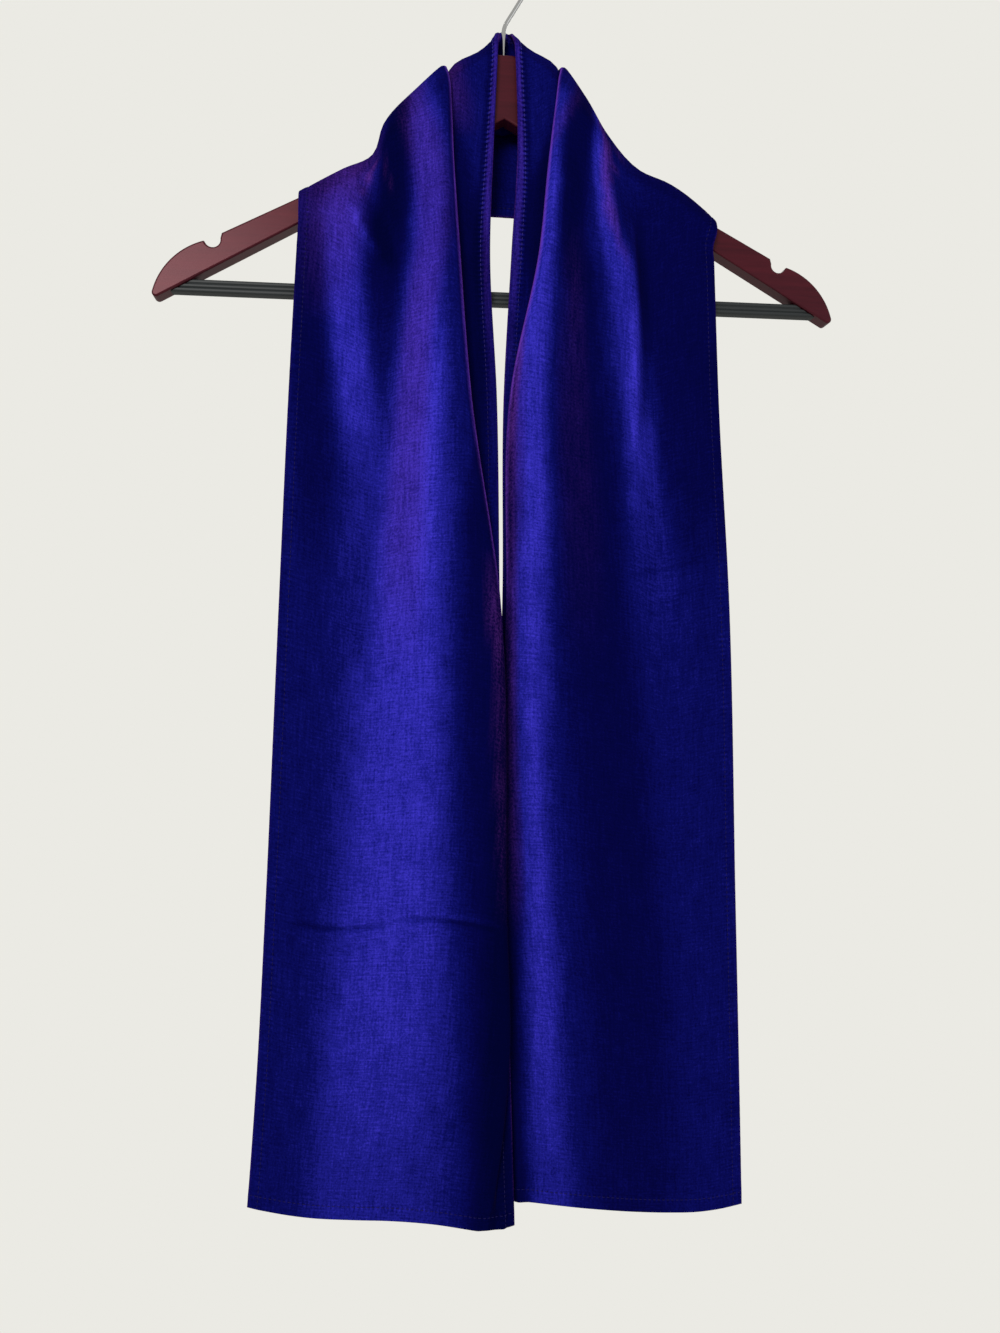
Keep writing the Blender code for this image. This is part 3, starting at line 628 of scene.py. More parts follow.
def respaced(points, near, count):
    """The curves along axis 0, read again at new places.

    Each has points at the near distances from both of its ends, and count points between them,
    as closely spaced as its own points are there.
    """
    run = run_lengths(points[..., :3], 0)
    order = np.arange(len(points), dtype=float)
    near = np.array(near)
    curves = []
    for curve, s in zip(points.transpose(1, 0, 2), run.T):
        first, last = np.interp((near[-1], s[-1] - near[-1]), s, order)
        middle = np.interp(np.linspace(first, last, count + 2)[1:-1], order, s)
        where = np.concatenate([near, middle, s[-1] - near[::-1]])
        curves.append([np.interp(where, s, values) for values in curve.T])
    return np.array(curves).transpose(2, 0, 1)


def scarf_middle():
    """Points of the whole scarf's middle surface in mm, rows from the left hem to the right hem.

    The fold lines flow from section to section, and across each row a second flow runs from
    line to line. The surface is then read again at even distances from its rims. A fourth
    number counts the spans from the outer edge, so it is 6 on the pleat's ridge.
    """
    left = [with_pleat(LEFT_END, section) for section in SECTIONS]
    right = [with_pleat(RIGHT_END, section) for section in SECTIONS[:-1]]
    counts = [FINER * section.rows for section in SECTIONS[:-1]]
    rows = flow(np.array(left + right[::-1]), [even(count) for count in counts + counts[::-1]])
    surface = flow(rows.transpose(1, 0, 2), [even(FINER * count) for count in COLUMNS])
    spans = [i + np.array(even(FINER * count)) for i, count in enumerate(COLUMNS)]
    spans = np.concatenate(spans + [[len(COLUMNS)]])
    spans = np.broadcast_to(spans[:, None, None], surface.shape[:2] + (1,))
    surface = np.concatenate([surface, spans], axis=-1)
    surface = respaced(surface.transpose(1, 0, 2), HEM_LINES, MIDDLE_ROWS)
    return respaced(surface.transpose(1, 0, 2), EDGE_LINES, MIDDLE_COLUMNS).transpose(1, 0, 2)


def bell(across, along, line):
    """1 on a bowed soft line of a table and 0 away from it, fading towards both of its ends."""
    run = np.array([line.across1 - line.across0, line.along1 - line.along0])
    length = np.hypot(*run)
    dx, dy = across - line.across0, along - line.along0
    t = (dx * run[0] + dy * run[1]) / length**2
    aside = (dx * run[1] - dy * run[0]) / length - line.bow * np.sin(math.pi * np.clip(t, 0.0, 1.0))
    ends = smooth(t, -0.12, 0.22) * smooth(-t, -1.12, -0.78)
    return ends * np.exp(-(aside / line.width)**2)


Surface = namedtuple("Surface", "points normals across along edge hem left spans")


def scarf_surface():
    """The scarf's middle surface with its creases and puckers, and what is measured on it in mm.

    across runs from the outer edge and along from the left hem. edge is the distance to the nearer
    long edge, and hem to that half's own hem. left is true on the left half, and spans counts the
    spans between fold lines. Each point is then lifted along the normal by the creases, each a bell
    across its line, and by the puckers, a sine along each stitch line that a bell fades out.
    """
    points, spans = np.split(scarf_middle(), [3], axis=-1)
    across = run_lengths(points, 1)
    along = run_lengths(points, 0)
    left = np.broadcast_to(np.arange(len(points))[:, None] < len(points) // 2, across.shape)
    hem = np.where(left, along, along[-1:] - along)
    edge = np.minimum(across, across[:, -1:] - across)
    lift = np.zeros_like(across)
    for crease in CREASES:
        lift += on_end(left, crease) * crease.height * bell(across, hem, crease)
    # Puckers: a sine along each stitch line, its height and its pitch swayed by slower sines
    for distance, run, turning in ((edge, along, EDGE_TURNING), (hem, across, HEM_TURNING)):
        uneven = 0.55 + 0.45 * np.sin(run / 19.0 + 2.0 * np.sin(run / 47.0))
        ripple = np.sin(run * 2.0 * math.pi / PUCKER_PITCH + 1.6 * np.sin(run / 13.0))
        lift += PUCKER_HEIGHT * uneven * ripple * peak(distance, turning, PUCKER_REACH)
    points = points + lift[..., None] * grid_normals(points)
    return Surface(points, grid_normals(points), across, along, edge, hem, left, spans[..., 0])


def half_thickness(surface):
    """Half the wall on the pile side and on the reverse.

    It is thick in the turnings, drops at the stitch lines, and is a half round at the rims.
    """
    edge, hem = surface.edge, surface.hem
    plain = smooth(edge, EDGE_TURNING - 0.3, EDGE_TURNING + 1.2)
    plain = plain * smooth(hem, HEM_TURNING - 0.3, HEM_TURNING + 1.2)
    half = TURNING_HALF + (CLOTH_HALF - TURNING_HALF) * plain
    groove = peak(edge, EDGE_TURNING, STITCH_GROOVE_WIDTH) * (hem > GROOVE_END)
    hem_groove = peak(hem, HEM_TURNING, STITCH_GROOVE_WIDTH) * (edge > GROOVE_END)
    groove = STITCH_GROOVE * np.maximum(groove, hem_groove)
    rim = np.clip(np.minimum(edge, hem) / half, 0.0, 1.0)
    rounding = np.sqrt(1.0 - (1.0 - rim)**2)
    return half * rounding - groove, half * rounding - REVERSE_GROOVE * groove


def vertex_normals(points, faces):
    """Unit normals of the vertices: the sum of the normals of their faces, larger ones more."""
    corners = points[faces]
    normals = np.cross(corners[:, 2] - corners[:, 0], corners[:, 3] - corners[:, 1])
    total = np.stack([np.bincount(faces.ravel(), np.repeat(normals[:, k], 4), len(points))
                      for k in range(3)], axis=-1)
    return unit(total)


def stitch_pull(surface):
    """How plainly the stitches show: little, but fully where the inner edge rolls to the light."""
    return PLAIN_PULL + (1.0 - PLAIN_PULL) * inner_turning(surface)


Cloth = namedtuple("Cloth", "points faces rows normals uv fields front under")


def scarf_cloth(surface):
    """The whole scarf as one closed sheet: its surface moved out and in by half the wall.

    The two faces share the points of the rims. rows holds the grid row of each face, fields the
    numbers that the material reads at each vertex, and front and under hold the vertex numbers of
    the two faces as grids.
    """
    pile, reverse = half_thickness(surface)
    shape = surface.across.shape
    front = np.arange(shape[0] * shape[1]).reshape(shape)
    inner = (slice(1, -1), slice(1, -1))
    under = front.copy()
    under[inner] = front.size + np.arange((shape[0] - 2) * (shape[1] - 2)).reshape(shape[0] - 2, -1)

    def both(values):
        """Values of the pile side's vertices, and then of the reverse's."""
        rest = values[inner].reshape((-1,) + values.shape[2:])
        return np.concatenate([values.reshape((-1,) + values.shape[2:]), rest])

    def moved(sign, half):
        """The surface's points, moved along their normals."""
        return surface.points + sign * half[..., None] * surface.normals

    points = np.concatenate([moved(1.0, pile).reshape(-1, 3), moved(-1.0, reverse)[inner].reshape(-1, 3)])
    faces = np.concatenate([quads(front), quads(under)[:, ::-1]])
    rows = np.tile(np.repeat(np.arange(shape[0] - 1), shape[1] - 1), 2)
    u = surface.across / surface.across[:, -1:] * CUT_WIDTH / CUT_LENGTH
    v = surface.along / surface.along[-1:]
    fields = {
        # painted_light holds the painted highlights and painted shade that the velvet's colour ramp turns
        # into colour
        "painted_light": painted_light_tone(surface),
        "ground": ground_and_sheen_tint(surface),
        "edge_seam": stitch_pull(surface) * peak(surface.edge, EDGE_TURNING, SEAM_REACH),
        "hem_seam": PLAIN_PULL * peak(surface.hem, HEM_TURNING, SEAM_REACH),
    }
    fields = {name: both(values) for name, values in fields.items()}
    uv = both(np.stack([u, v], axis=-1))
    return Cloth(place(points), faces, rows, vertex_normals(points, faces), uv, fields, front, under)


def add_node(tree, kind, inputs=None, **settings):
    """Adds a node, sets its properties, and fills or links its inputs by name or number."""
    node = tree.nodes.new(kind)
    for name, value in settings.items():
        setattr(node, name, value)
    for name, value in (inputs or {}).items():
        if isinstance(value, bpy.types.NodeSocket):
            tree.links.new(value, node.inputs[name])
        else:
            node.inputs[name].default_value = value
    return node


def streaks(tree, place_in, scale, detail, roughness=0.5):
    """Noise whose patches are stretched by a scale for each axis."""
    spread = add_node(tree, "ShaderNodeMapping", {"Vector": place_in, "Scale": scale}).outputs[0]
    inputs = {"Vector": spread, "Scale": 1.0, "Detail": detail, "Roughness": roughness}
    return add_node(tree, "ShaderNodeTexNoise", inputs).outputs["Fac"]


def two_tones(tree, tone, dark, light, low=0.0, high=1.0):
    """A colour from dark, where the tone is low, to light, where it is high."""
    ramp = add_node(tree, "ShaderNodeValToRGB", {"Fac": tone})
    for element, position, colour in zip(ramp.color_ramp.elements, (low, high), (dark, light)):
        element.position = position
        element.color = colour
    return ramp.outputs["Color"]


def new_material(name):
    """A material with its tree and its Principled shader."""
    material = bpy.data.materials.new(name)
    material.use_nodes = True
    return material, material.node_tree, material.node_tree.nodes["Principled BSDF"]


def velvet_material(settings):
    """Shot silk velvet, woven: a short blue pile on a red ground.

    Its colour runs from painted shade in troughs and on slopes, through its own blues, to a painted
    highlight where the pile faces the light, by the painted_light field and the cloth's uneven tone.
    Where it is crushed at a fold the ground tints it purple, and the same tint paints a pink sheen.
    """
    material, tree, shader = new_material("shot_silk_velvet")
    cloth = add_node(tree, "ShaderNodeUVMap", uv_map="cloth").outputs["UV"]

    def field(name):
        """A number that the mesh holds at each vertex."""
        return add_node(tree, "ShaderNodeAttribute", attribute_name=name).outputs["Fac"]

    def math_node(operation, *values):
        """The result of one operation on numbers or sockets."""
        return add_node(tree, "ShaderNodeMath", dict(enumerate(values)), operation=operation).outputs[0]

    def uneven(patches):
        """Noise with patches of a size in mm, because the UV map runs 0 to 1 over the cut's length."""
        across_mm, along_mm, detail, roughness, _ = patches
        scale = (CUT_LENGTH / across_mm, CUT_LENGTH / along_mm, 1.0)
        return streaks(tree, cloth, scale, detail, roughness)

    tufts, weft, warp, worn = (uneven(patches) for patches in (TUFTS, WEFT, WARP, WORN))
    tone = math_node("MULTIPLY_ADD", tufts, TUFTS[-1], -0.5 * TUFTS[-1])
    for value, (*_, strength) in ((weft, WEFT), (warp, WARP), (worn, WORN)):
        tone = math_node("ADD", math_node("MULTIPLY_ADD", value, strength, -0.5 * strength), tone)
    # The painted light and shade tone, with the tufts' unevenness stronger where the painted light is
    # brighter
    painted_light = field("painted_light")
    tone = math_node("MULTIPLY_ADD", tone, math_node("MULTIPLY_ADD", painted_light, 0.8, 0.35), painted_light)

    # Each stitch draws the turning down, and the pile puffs up between one stitch and the next: a bump,
    # and a painted highlight on each puff with painted shade at each stitch
    parts = add_node(tree, "ShaderNodeSeparateXYZ", {"Vector": cloth})
    turns = 2.0 * math.pi * CUT_LENGTH / (settings.stitch_pitch / MM)
    along_wave = math_node("SINE", math_node("MULTIPLY", parts.outputs["Y"], turns))
    across_wave = math_node("SINE", math_node("MULTIPLY", parts.outputs["X"], turns))
    puffs = math_node("MULTIPLY", along_wave, field("edge_seam"))
    puffs = math_node("MULTIPLY_ADD", across_wave, field("hem_seam"), puffs)
    tone = math_node("MULTIPLY_ADD", puffs, PUFF_HIGHLIGHT, tone)

    # The ramp turns painted light into colour: painted shade at its low end, a painted highlight at its top
    ramp = add_node(tree, "ShaderNodeValToRGB", {"Fac": tone})
    stops = [(0.0, settings.trough_shade_colour), (0.25, settings.shade_colour), (0.45, settings.navy_colour),
             (0.7, settings.pile_colour), (1.0, settings.highlight_colour)]
    for _ in stops[2:]:
        ramp.color_ramp.elements.new(0.5)
    for element, (position, colour) in zip(ramp.color_ramp.elements, stops):
        element.position = position
        element.color = (*colour, 1.0)
    # The ground shows between the tufts, unevenly along the warp, as dark and light streaks
    mottling = math_node("MULTIPLY_ADD", warp, 0.7, math_node("MULTIPLY_ADD", tufts, 1.5, -1.05))
    crush_and_sheen_colour = two_tones(tree, math_node("ADD", tone, mottling), srgb("1C0A4A"),
                        (*settings.ground_and_sheen_colour, 1.0))
    # The ground's tint, partly crushed pile and partly painted pink sheen, mixed over the blue
    tint = add_node(tree, "ShaderNodeMix", {"Factor": field("ground"), 6: ramp.outputs["Color"], 7: crush_and_sheen_colour},
                    data_type="RGBA")
    tree.links.new(tint.outputs[2], shader.inputs["Base Color"])

    puffed = add_node(tree, "ShaderNodeBump", {"Height": puffs, "Strength": 0.8, "Distance": 0.3 * MM})
    height = math_node("ADD", tufts, math_node("MULTIPLY", weft, 0.5))
    bump = add_node(tree, "ShaderNodeBump", {"Height": height, "Strength": 0.55, "Distance": 0.5 * MM,
                                             "Normal": puffed.outputs["Normal"]})
    tree.links.new(bump.outputs["Normal"], shader.inputs["Normal"])
    shader.inputs["Roughness"].default_value = 0.5
    shader.inputs["IOR"].default_value = 1.46
    shader.inputs["Specular IOR Level"].default_value = 0.0
    shader.inputs["Sheen Weight"].default_value = 0.05
    shader.inputs["Sheen Roughness"].default_value = 0.35
    shader.inputs["Sheen Tint"].default_value = (0.5, 0.25, 0.8, 1.0)
    return material


def thread_material():
    """Twisted polyester thread in the pile's blue: a little lighter and shinier than the velvet."""
    material, tree, shader = new_material("polyester_thread")
    place_in = add_node(tree, "ShaderNodeTexCoord").outputs["Object"]
    twist = add_node(tree, "ShaderNodeTexNoise", {"Vector": place_in, "Scale": 1400.0, "Detail": 2.0})
    # lit paints the thread lighter where the inner edge rolls to the light: a painted highlight
    lit = add_node(tree, "ShaderNodeAttribute", attribute_name="lit").outputs["Fac"]
    tone = add_node(tree, "ShaderNodeMath", {0: twist.outputs["Fac"], 1: 0.3, 2: lit},
                    operation="MULTIPLY_ADD").outputs[0]
    tree.links.new(two_tones(tree, tone, srgb("06063A"), srgb("5A4CC4")), shader.inputs["Base Color"])
    shader.inputs["Roughness"].default_value = 0.42
    shader.inputs["Specular IOR Level"].default_value = 0.12
    return material


def lacquer_material(settings):
    """Hardwood stained to mahogany and sprayed with lacquer: straight grain under a glossy coat."""
    material, tree, shader = new_material("lacquered_mahogany")
    place_in = add_node(tree, "ShaderNodeTexCoord").outputs["Object"]
    grain = streaks(tree, place_in, (14.0, 420.0, 260.0), 6.0, 0.6)
    pores = streaks(tree, place_in, (90.0, 1900.0, 1500.0), 2.0)
    tone = add_node(tree, "ShaderNodeMath", {0: pores, 1: 0.35, 2: -0.17}, operation="MULTIPLY_ADD")
    tone = add_node(tree, "ShaderNodeMath", {0: tone.outputs[0], 1: grain}, operation="ADD", use_clamp=True)
    colour = two_tones(tree, tone.outputs[0], srgb("34101C"), (*settings.lacquer_colour, 1.0), 0.1, 0.95)
    tree.links.new(colour, shader.inputs["Base Color"])
    bump = add_node(tree, "ShaderNodeBump", {"Height": grain, "Strength": 0.12, "Distance": 0.2 * MM})
    tree.links.new(bump.outputs["Normal"], shader.inputs["Normal"])
    shader.inputs["Roughness"].default_value = 0.36
    shader.inputs["Specular Tint"].default_value = srgb("FFA8B2")
    shader.inputs["Coat Weight"].default_value = 0.1
    shader.inputs["Coat Roughness"].default_value = 0.2
    return material


def bar_material():
    """Charcoal PVC sleeve, extruded: matt, with faint drawn lines along it."""
    material, tree, shader = new_material("extruded_pvc_charcoal")
    place_in = add_node(tree, "ShaderNodeTexCoord").outputs["Object"]
    drawn = streaks(tree, place_in, (6.0, 1500.0, 1500.0), 3.0)
    tree.links.new(two_tones(tree, drawn, srgb("1C2022"), srgb("3E4447")), shader.inputs["Base Color"])
    bump = add_node(tree, "ShaderNodeBump", {"Height": drawn, "Strength": 0.25, "Distance": 0.1 * MM})
    tree.links.new(bump.outputs["Normal"], shader.inputs["Normal"])
    shader.inputs["Roughness"].default_value = 0.5
    return material


def chrome_material():
    """Steel wire, polished and chrome plated: a bright mirror with faint rubbing."""
    material, tree, shader = new_material("chromed_steel_wire")
    place_in = add_node(tree, "ShaderNodeTexCoord").outputs["Object"]
    rubbed = add_node(tree, "ShaderNodeTexNoise", {"Vector": place_in, "Scale": 260.0, "Detail": 4.0})
    gloss = add_node(tree, "ShaderNodeMapRange",
                     {"Value": rubbed.outputs["Fac"], "To Min": 0.06, "To Max": 0.2})
    tree.links.new(gloss.outputs[0], shader.inputs["Roughness"])
    shader.inputs["Base Color"].default_value = srgb("F6F7F8")
    shader.inputs["Metallic"].default_value = 1.0
    return material


def band_share(surface, bands):
    """The bands' tones on the cloth, summed: each is flat in its middle and soft at its sides."""
    total = np.zeros_like(surface.across)
    for band in bands:
        along, across, outer, inner, tone = np.array(band.points, dtype=float).T
        aside = surface.across - np.interp(surface.hem, along, across)
        outward, inward = (np.interp(surface.hem, along, side) for side in (outer, inner))
        reach = np.where(aside < 0.0, outward, inward)
        shown = on_end(surface.left, band) * np.interp(surface.hem, along, tone)
        total += shown * np.exp(-(aside / reach)**4)
    return total


def ridge_highlight_line(surface):
    """1 on the pleat's ridge, where a painted highlight and pink sheen go, down to where the two ends meet.
    """
    line = peak(surface.spans, RIDGE_LINE, RIDGE_LINE_WIDTH)
    return line * smooth(surface.hem, RIDGE_START, RIDGE_FULL)


def inner_turning(surface):
    """1 on the upper part of the inner edge, which rolls out to the light."""
    inner = surface.across > 0.5 * CUT_WIDTH
    return inner * smooth(surface.hem, ROLL_START, ROLL_FULL)


def painted_light_tone(surface):
    """Painted light and shade on the pile, from 0 to 1: a painted highlight where the cloth faces front or
    back, the bands, the creases, the rolled inner edge and the ridge line.
    """
    facing = smooth(np.abs(surface.normals[..., 1]), FACING_FROM, 1.0)
    tone = NAP_PLAIN + FACING_HIGHLIGHT * facing + band_share(surface, LIGHT_AND_SHADE_BANDS)
    for crease in CREASES:
        height = on_end(surface.left, crease) * CREASE_LIGHT_AND_SHADE * crease.height
        tone += height * bell(surface.across, surface.hem, crease)
    rolled = sum(shown * peak(surface.edge, middle, width)
                 for middle, width, shown in (ROLL_HIGHLIGHT, ROLL_SHADE))
    tone += inner_turning(surface) * rolled + RIDGE_HIGHLIGHT * ridge_highlight_line(surface)
    return np.clip(tone, 0.0, 1.0)


def ground_and_sheen_tint(surface):
    """Where the red ground tints the pile: where folds have crushed it, and as a painted pink sheen at the
    rims, on the ridge, on the rolled turning and along fold edges.
    """
    tint = RIM_SHEEN * (1.0 - smooth(surface.edge, 0.0, RIM_WIDTH))
    rolled = ROLL_SHEEN * inner_turning(surface) * peak(surface.edge, *ROLL_HIGHLIGHT[:2])
    for shown in (rolled, RIDGE_SHEEN * ridge_highlight_line(surface), band_share(surface, GROUND_AND_SHEEN_BANDS)):
        tint = np.maximum(tint, shown)
    for mark in CRUSH_AND_SHEEN_MARKS:
        shown = on_end(surface.left, mark) * mark.tone
        tint = np.maximum(tint, shown * bell(surface.across, surface.hem, mark))
    return np.clip(tint, 0.0, 1.0)


def build_stretch(name, node, cloth, first, last, material):
    """One stretch of the scarf, from one grid row to another, its cut ends closed.

    It keeps the whole cloth's normals, so the light runs on from one stretch to the next.
    """
    faces = cloth.faces[(cloth.rows >= first) & (cloth.rows < last)].tolist()
    for row, step in ((first, 1), (last, -1)):
        if 0 < row < len(cloth.front) - 1:
            cap = quads(np.stack([cloth.under[row], cloth.front[row]])[::step])
            faces += [list(dict.fromkeys(face)) for face in cap.tolist()]
    used, renumbered = np.unique(np.concatenate(faces), return_inverse=True)
    ends = np.cumsum([len(face) for face in faces])[:-1]
    mesh = bpy.data.meshes.new(name)
    mesh.from_pydata(cloth.points[used].tolist(), [], [part.tolist() for part in np.split(renumbered, ends)])
    mesh.shade_smooth()
    mesh.normals_split_custom_set_from_vertices(cloth.normals[used].tolist())
    piece = add_object(name, mesh, material)
    add_uv(piece, "cloth", cloth.uv[used])
    for field, values in cloth.fields.items():
        add_attribute(mesh, field, values[used])
    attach(piece, "root")
    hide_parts(node)
    return piece


def line_at(values, measure, target):
    """Values at the place on each row where a growing measure reaches the target."""
    after = np.clip((measure < target).sum(axis=1), 1, measure.shape[1] - 1)[:, None]
    low = np.take_along_axis(measure, after - 1, 1)
    high = np.take_along_axis(measure, after, 1)
    t = np.clip((target - low) / np.maximum(high - low, 1e-9), 0.0, 1.0)[..., None]
    first = np.take_along_axis(values, (after - 1)[..., None], 1)
    second = np.take_along_axis(values, after[..., None], 1)
    return ((1.0 - t) * first + t * second)[:, 0]


def stitches_along(path, normals, pitch, length):
    """Starts, ends and normals of stitches of one length, a pitch apart along a path."""
    run = run_lengths(path, 0)
    starts = np.arange(0.5 * pitch, run[-1] - length, pitch)

    def read(where, values):
        """Values of the path at distances along it."""
        return np.stack([np.interp(where, run, column) for column in values.T], axis=-1)

    return read(starts, path), read(starts + length, path), unit(read(starts + 0.5 * length, normals))


def stitch_rods(starts, ends, normals):
    """Each stitch is a short rod that swells from its two sunk ends, carried from start to end."""
    # Places along the stitch, the thread's radius there as a share, and its rise there in mm
    share = np.array([0.0, 0.12, 0.5, 0.88, 1.0])[None, :, None]
    swell = THREAD_RADIUS * np.array([0.0, 0.8, 1.0, 0.8, 0.0])[None, :, None, None]
    rise = np.array([-0.4, -0.05, 0.1, -0.05, -0.4])[None, :, None]
    angles = np.linspace(0.0, 2.0 * math.pi, 6)[:-1][None, None, :, None]
    run = unit(ends - starts)
    aside = unit(np.cross(normals, run))[:, None, None]
    middle = starts[:, None] + share * (ends - starts)[:, None] + rise * normals[:, None]
    return middle[:, :, None] + swell * (np.cos(angles) * aside + np.sin(angles) * normals[:, None, None])


def build_stitching(name, surface, first, last, material, settings):
    """Topstitches beside the long edges, and a hem where there is one, on both faces of a stretch."""
    rows = slice(first, last + 1)
    across, hem = surface.across[rows], surface.hem[rows]
    pull = stitch_pull(surface)[rows][..., None]
    length, pitch = settings.stitch_length / MM, settings.stitch_pitch / MM
    rods, lit = [], []
    for sign, half in zip((1.0, -1.0), half_thickness(surface)):
        out = (sign * surface.normals)[rows]
        face = surface.points[rows] + (half[rows] + 0.5 * THREAD_RADIUS)[..., None] * out
        lines = [(face, out, pull, across, EDGE_TURNING)]
        from_inner = [values[:, ::-1] for values in (face, out, pull, across[:, -1:] - across)]
        lines.append((*from_inner, EDGE_TURNING))
        for flip, has_hem in ((1, first == 0), (-1, last == len(surface.hem) - 1)):
            if has_hem:
                turned = [values[::flip][:HEM_ROWS].swapaxes(0, 1) for values in (face, out, pull, hem)]
                lines.append((*turned, HEM_TURNING))
        for line_face, line_out, line_pull, measure, distance in lines:
            path, normals, lift = (line_at(values, measure, distance)
                                   for values in (line_face, line_out, line_pull))
            starts, ends, outs = stitches_along(path, normals, pitch, length)
            rods.append(stitch_rods(starts, ends, outs))
            run = run_lengths(path, 0)
            shown = np.interp(np.linspace(0.0, run[-1], len(starts)), run, lift[:, 0])
            # The thread's lit value: a painted highlight where the inner edge rolls to the light
            shown = THREAD_HIGHLIGHT * (shown - PLAIN_PULL)
            lit.append(np.broadcast_to(shown[:, None, None], rods[-1].shape[:3]))
    rods, lit = np.concatenate(rods), np.concatenate(lit)
    index = np.arange(rods[..., 0].size).reshape(rods.shape[:3])
    index = np.concatenate([index, index[:, :, :1]], axis=2)
    corners = (index[:, :-1, :-1], index[:, :-1, 1:], index[:, 1:, 1:], index[:, 1:, :-1])
    faces = np.stack(corners, axis=-1).reshape(-1, 4)
    return add_piece(name, place(rods), faces.tolist(), material, {"lit": lit})


def build_scarf(settings):
    """The three stretches of the scarf and their stitching, parted on top of the shoulders."""
    surface = scarf_surface()
    cloth = scarf_cloth(surface)
    behind = surface.points[:, CREST_COLUMN, 1] > 0.0
    tops = (int(np.argmax(behind)), int(len(behind) - np.argmax(behind[::-1])))
    velvet, thread = velvet_material(settings), thread_material()
    stretches = (("left", "scarf_front_left", 0, tops[0]), ("neck", "scarf_neck_back", tops[0], tops[1]),
                 ("right", "scarf_front_right", tops[1], len(behind) - 1))
    for name, node, first, last in stretches:
        piece = build_stretch("velvet_" + name, node, cloth, first, last, velvet)
        stitching = build_stitching("topstitching_" + name, surface, first, last, thread, settings)


def hanger_outline():
    """The wooden body's outline in mm, from the neck's top round the right arm and back."""
    top_length = math.hypot(1.0, ARM_TOP_SLOPE)
    under_length = math.hypot(1.0, ARM_UNDER_SLOPE)
    fillet_x = NECK_HALF_WIDTH + NECK_FILLET
    fillet_z = NECK_FILLET * top_length + ARM_TOP_HEIGHT - ARM_TOP_SLOPE * fillet_x
    fillet_end = 1.5 * math.pi - math.atan(ARM_TOP_SLOPE)
    tip_x = TIP_POINT[0] - TIP_CORNER
    tip_z = TIP_CORNER * under_length + ARM_UNDER_HEIGHT - ARM_UNDER_SLOPE * tip_x
    tip_end = -0.5 * math.pi - math.atan(ARM_UNDER_SLOPE)
    half = [(0.0, 0.0)]
    half += arc((NECK_HALF_WIDTH - NECK_CORNER, -NECK_CORNER), NECK_CORNER, math.pi / 2, 0.0, 10)
    half += arc((fillet_x, fillet_z), NECK_FILLET, math.pi, fillet_end, 12)
    half += [NOTCH_MOUTH]
    half += arc(NOTCH_CENTRE, NOTCH_RADIUS, math.radians(170), math.radians(340), 18)
    half += arc_through(NOTCH_LIP, SHOULDER_POINT, TIP_POINT, 24)
    half += arc((tip_x, tip_z), TIP_CORNER, math.radians(-5), tip_end, 8)
    half += [(0.0, ARM_UNDER_HEIGHT)]
    return np.array(half + [(-x, z) for x, z in reversed(half[1:-1])])


def resampled(loop, spacing):
    """Points on a closed outline, no further apart than the spacing, corners kept."""
    points = []
    for start, end in zip(loop, np.roll(loop, -1, axis=0)):
        steps = max(1, math.ceil(np.linalg.norm(end - start) / spacing))
        points += [start + (end - start) * i / steps for i in range(steps)]
    return np.array(points)


def build_hanger_wood(settings):
    """The wooden body: its outline as a flat slab, with a bevel round all of its edges."""
    loop = resampled(hanger_outline(), OUTLINE_SPACING)
    half = np.full(len(loop), 0.5 * WOOD_THICKNESS)
    points = np.stack([np.stack([loop[:, 0], sign * half, loop[:, 1]], axis=-1) for sign in (-1.0, 1.0)])
    index = np.arange(2 * len(loop)).reshape(2, -1)
    faces = quads(np.concatenate([index, index[:, :1]], axis=1)).tolist()
    faces += [index[0, ::-1].tolist(), index[1].tolist()]
    wood = add_piece("wooden_hanger_body", place(points), faces, lacquer_material(settings))
    round_over = wood.modifiers.new("rounded_edges", "BEVEL")
    round_over.width = settings.wood_easing
    round_over.segments = 5
    round_over.limit_method = "ANGLE"
    round_over.angle_limit = math.radians(60.0)
    round_over.harden_normals = True
    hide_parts("hanger_wood")
    return wood


def bar_loop():
    """The bar's section as (y, height above its middle): round corners, two soft grooves a side."""
    half_y, half_z = 0.5 * BAR_THICKNESS, 0.5 * BAR_HEIGHT
    heights = np.linspace(-half_z + BAR_CORNER, half_z - BAR_CORNER, 29)
    dent = sum(BAR_GROOVE_DEPTH * peak(heights, middle, BAR_GROOVE_WIDTH) for middle in BAR_GROOVES)
    side = np.stack([half_y - dent, heights], axis=-1)
    corner = np.array(arc((half_y - BAR_CORNER, half_z - BAR_CORNER), BAR_CORNER, 0.0, 0.5 * math.pi, 6))[1:]
    right = np.concatenate([corner[::-1] * (1.0, -1.0), side, corner])
    return np.concatenate([right, right[::-1] * (-1.0, 1.0)])


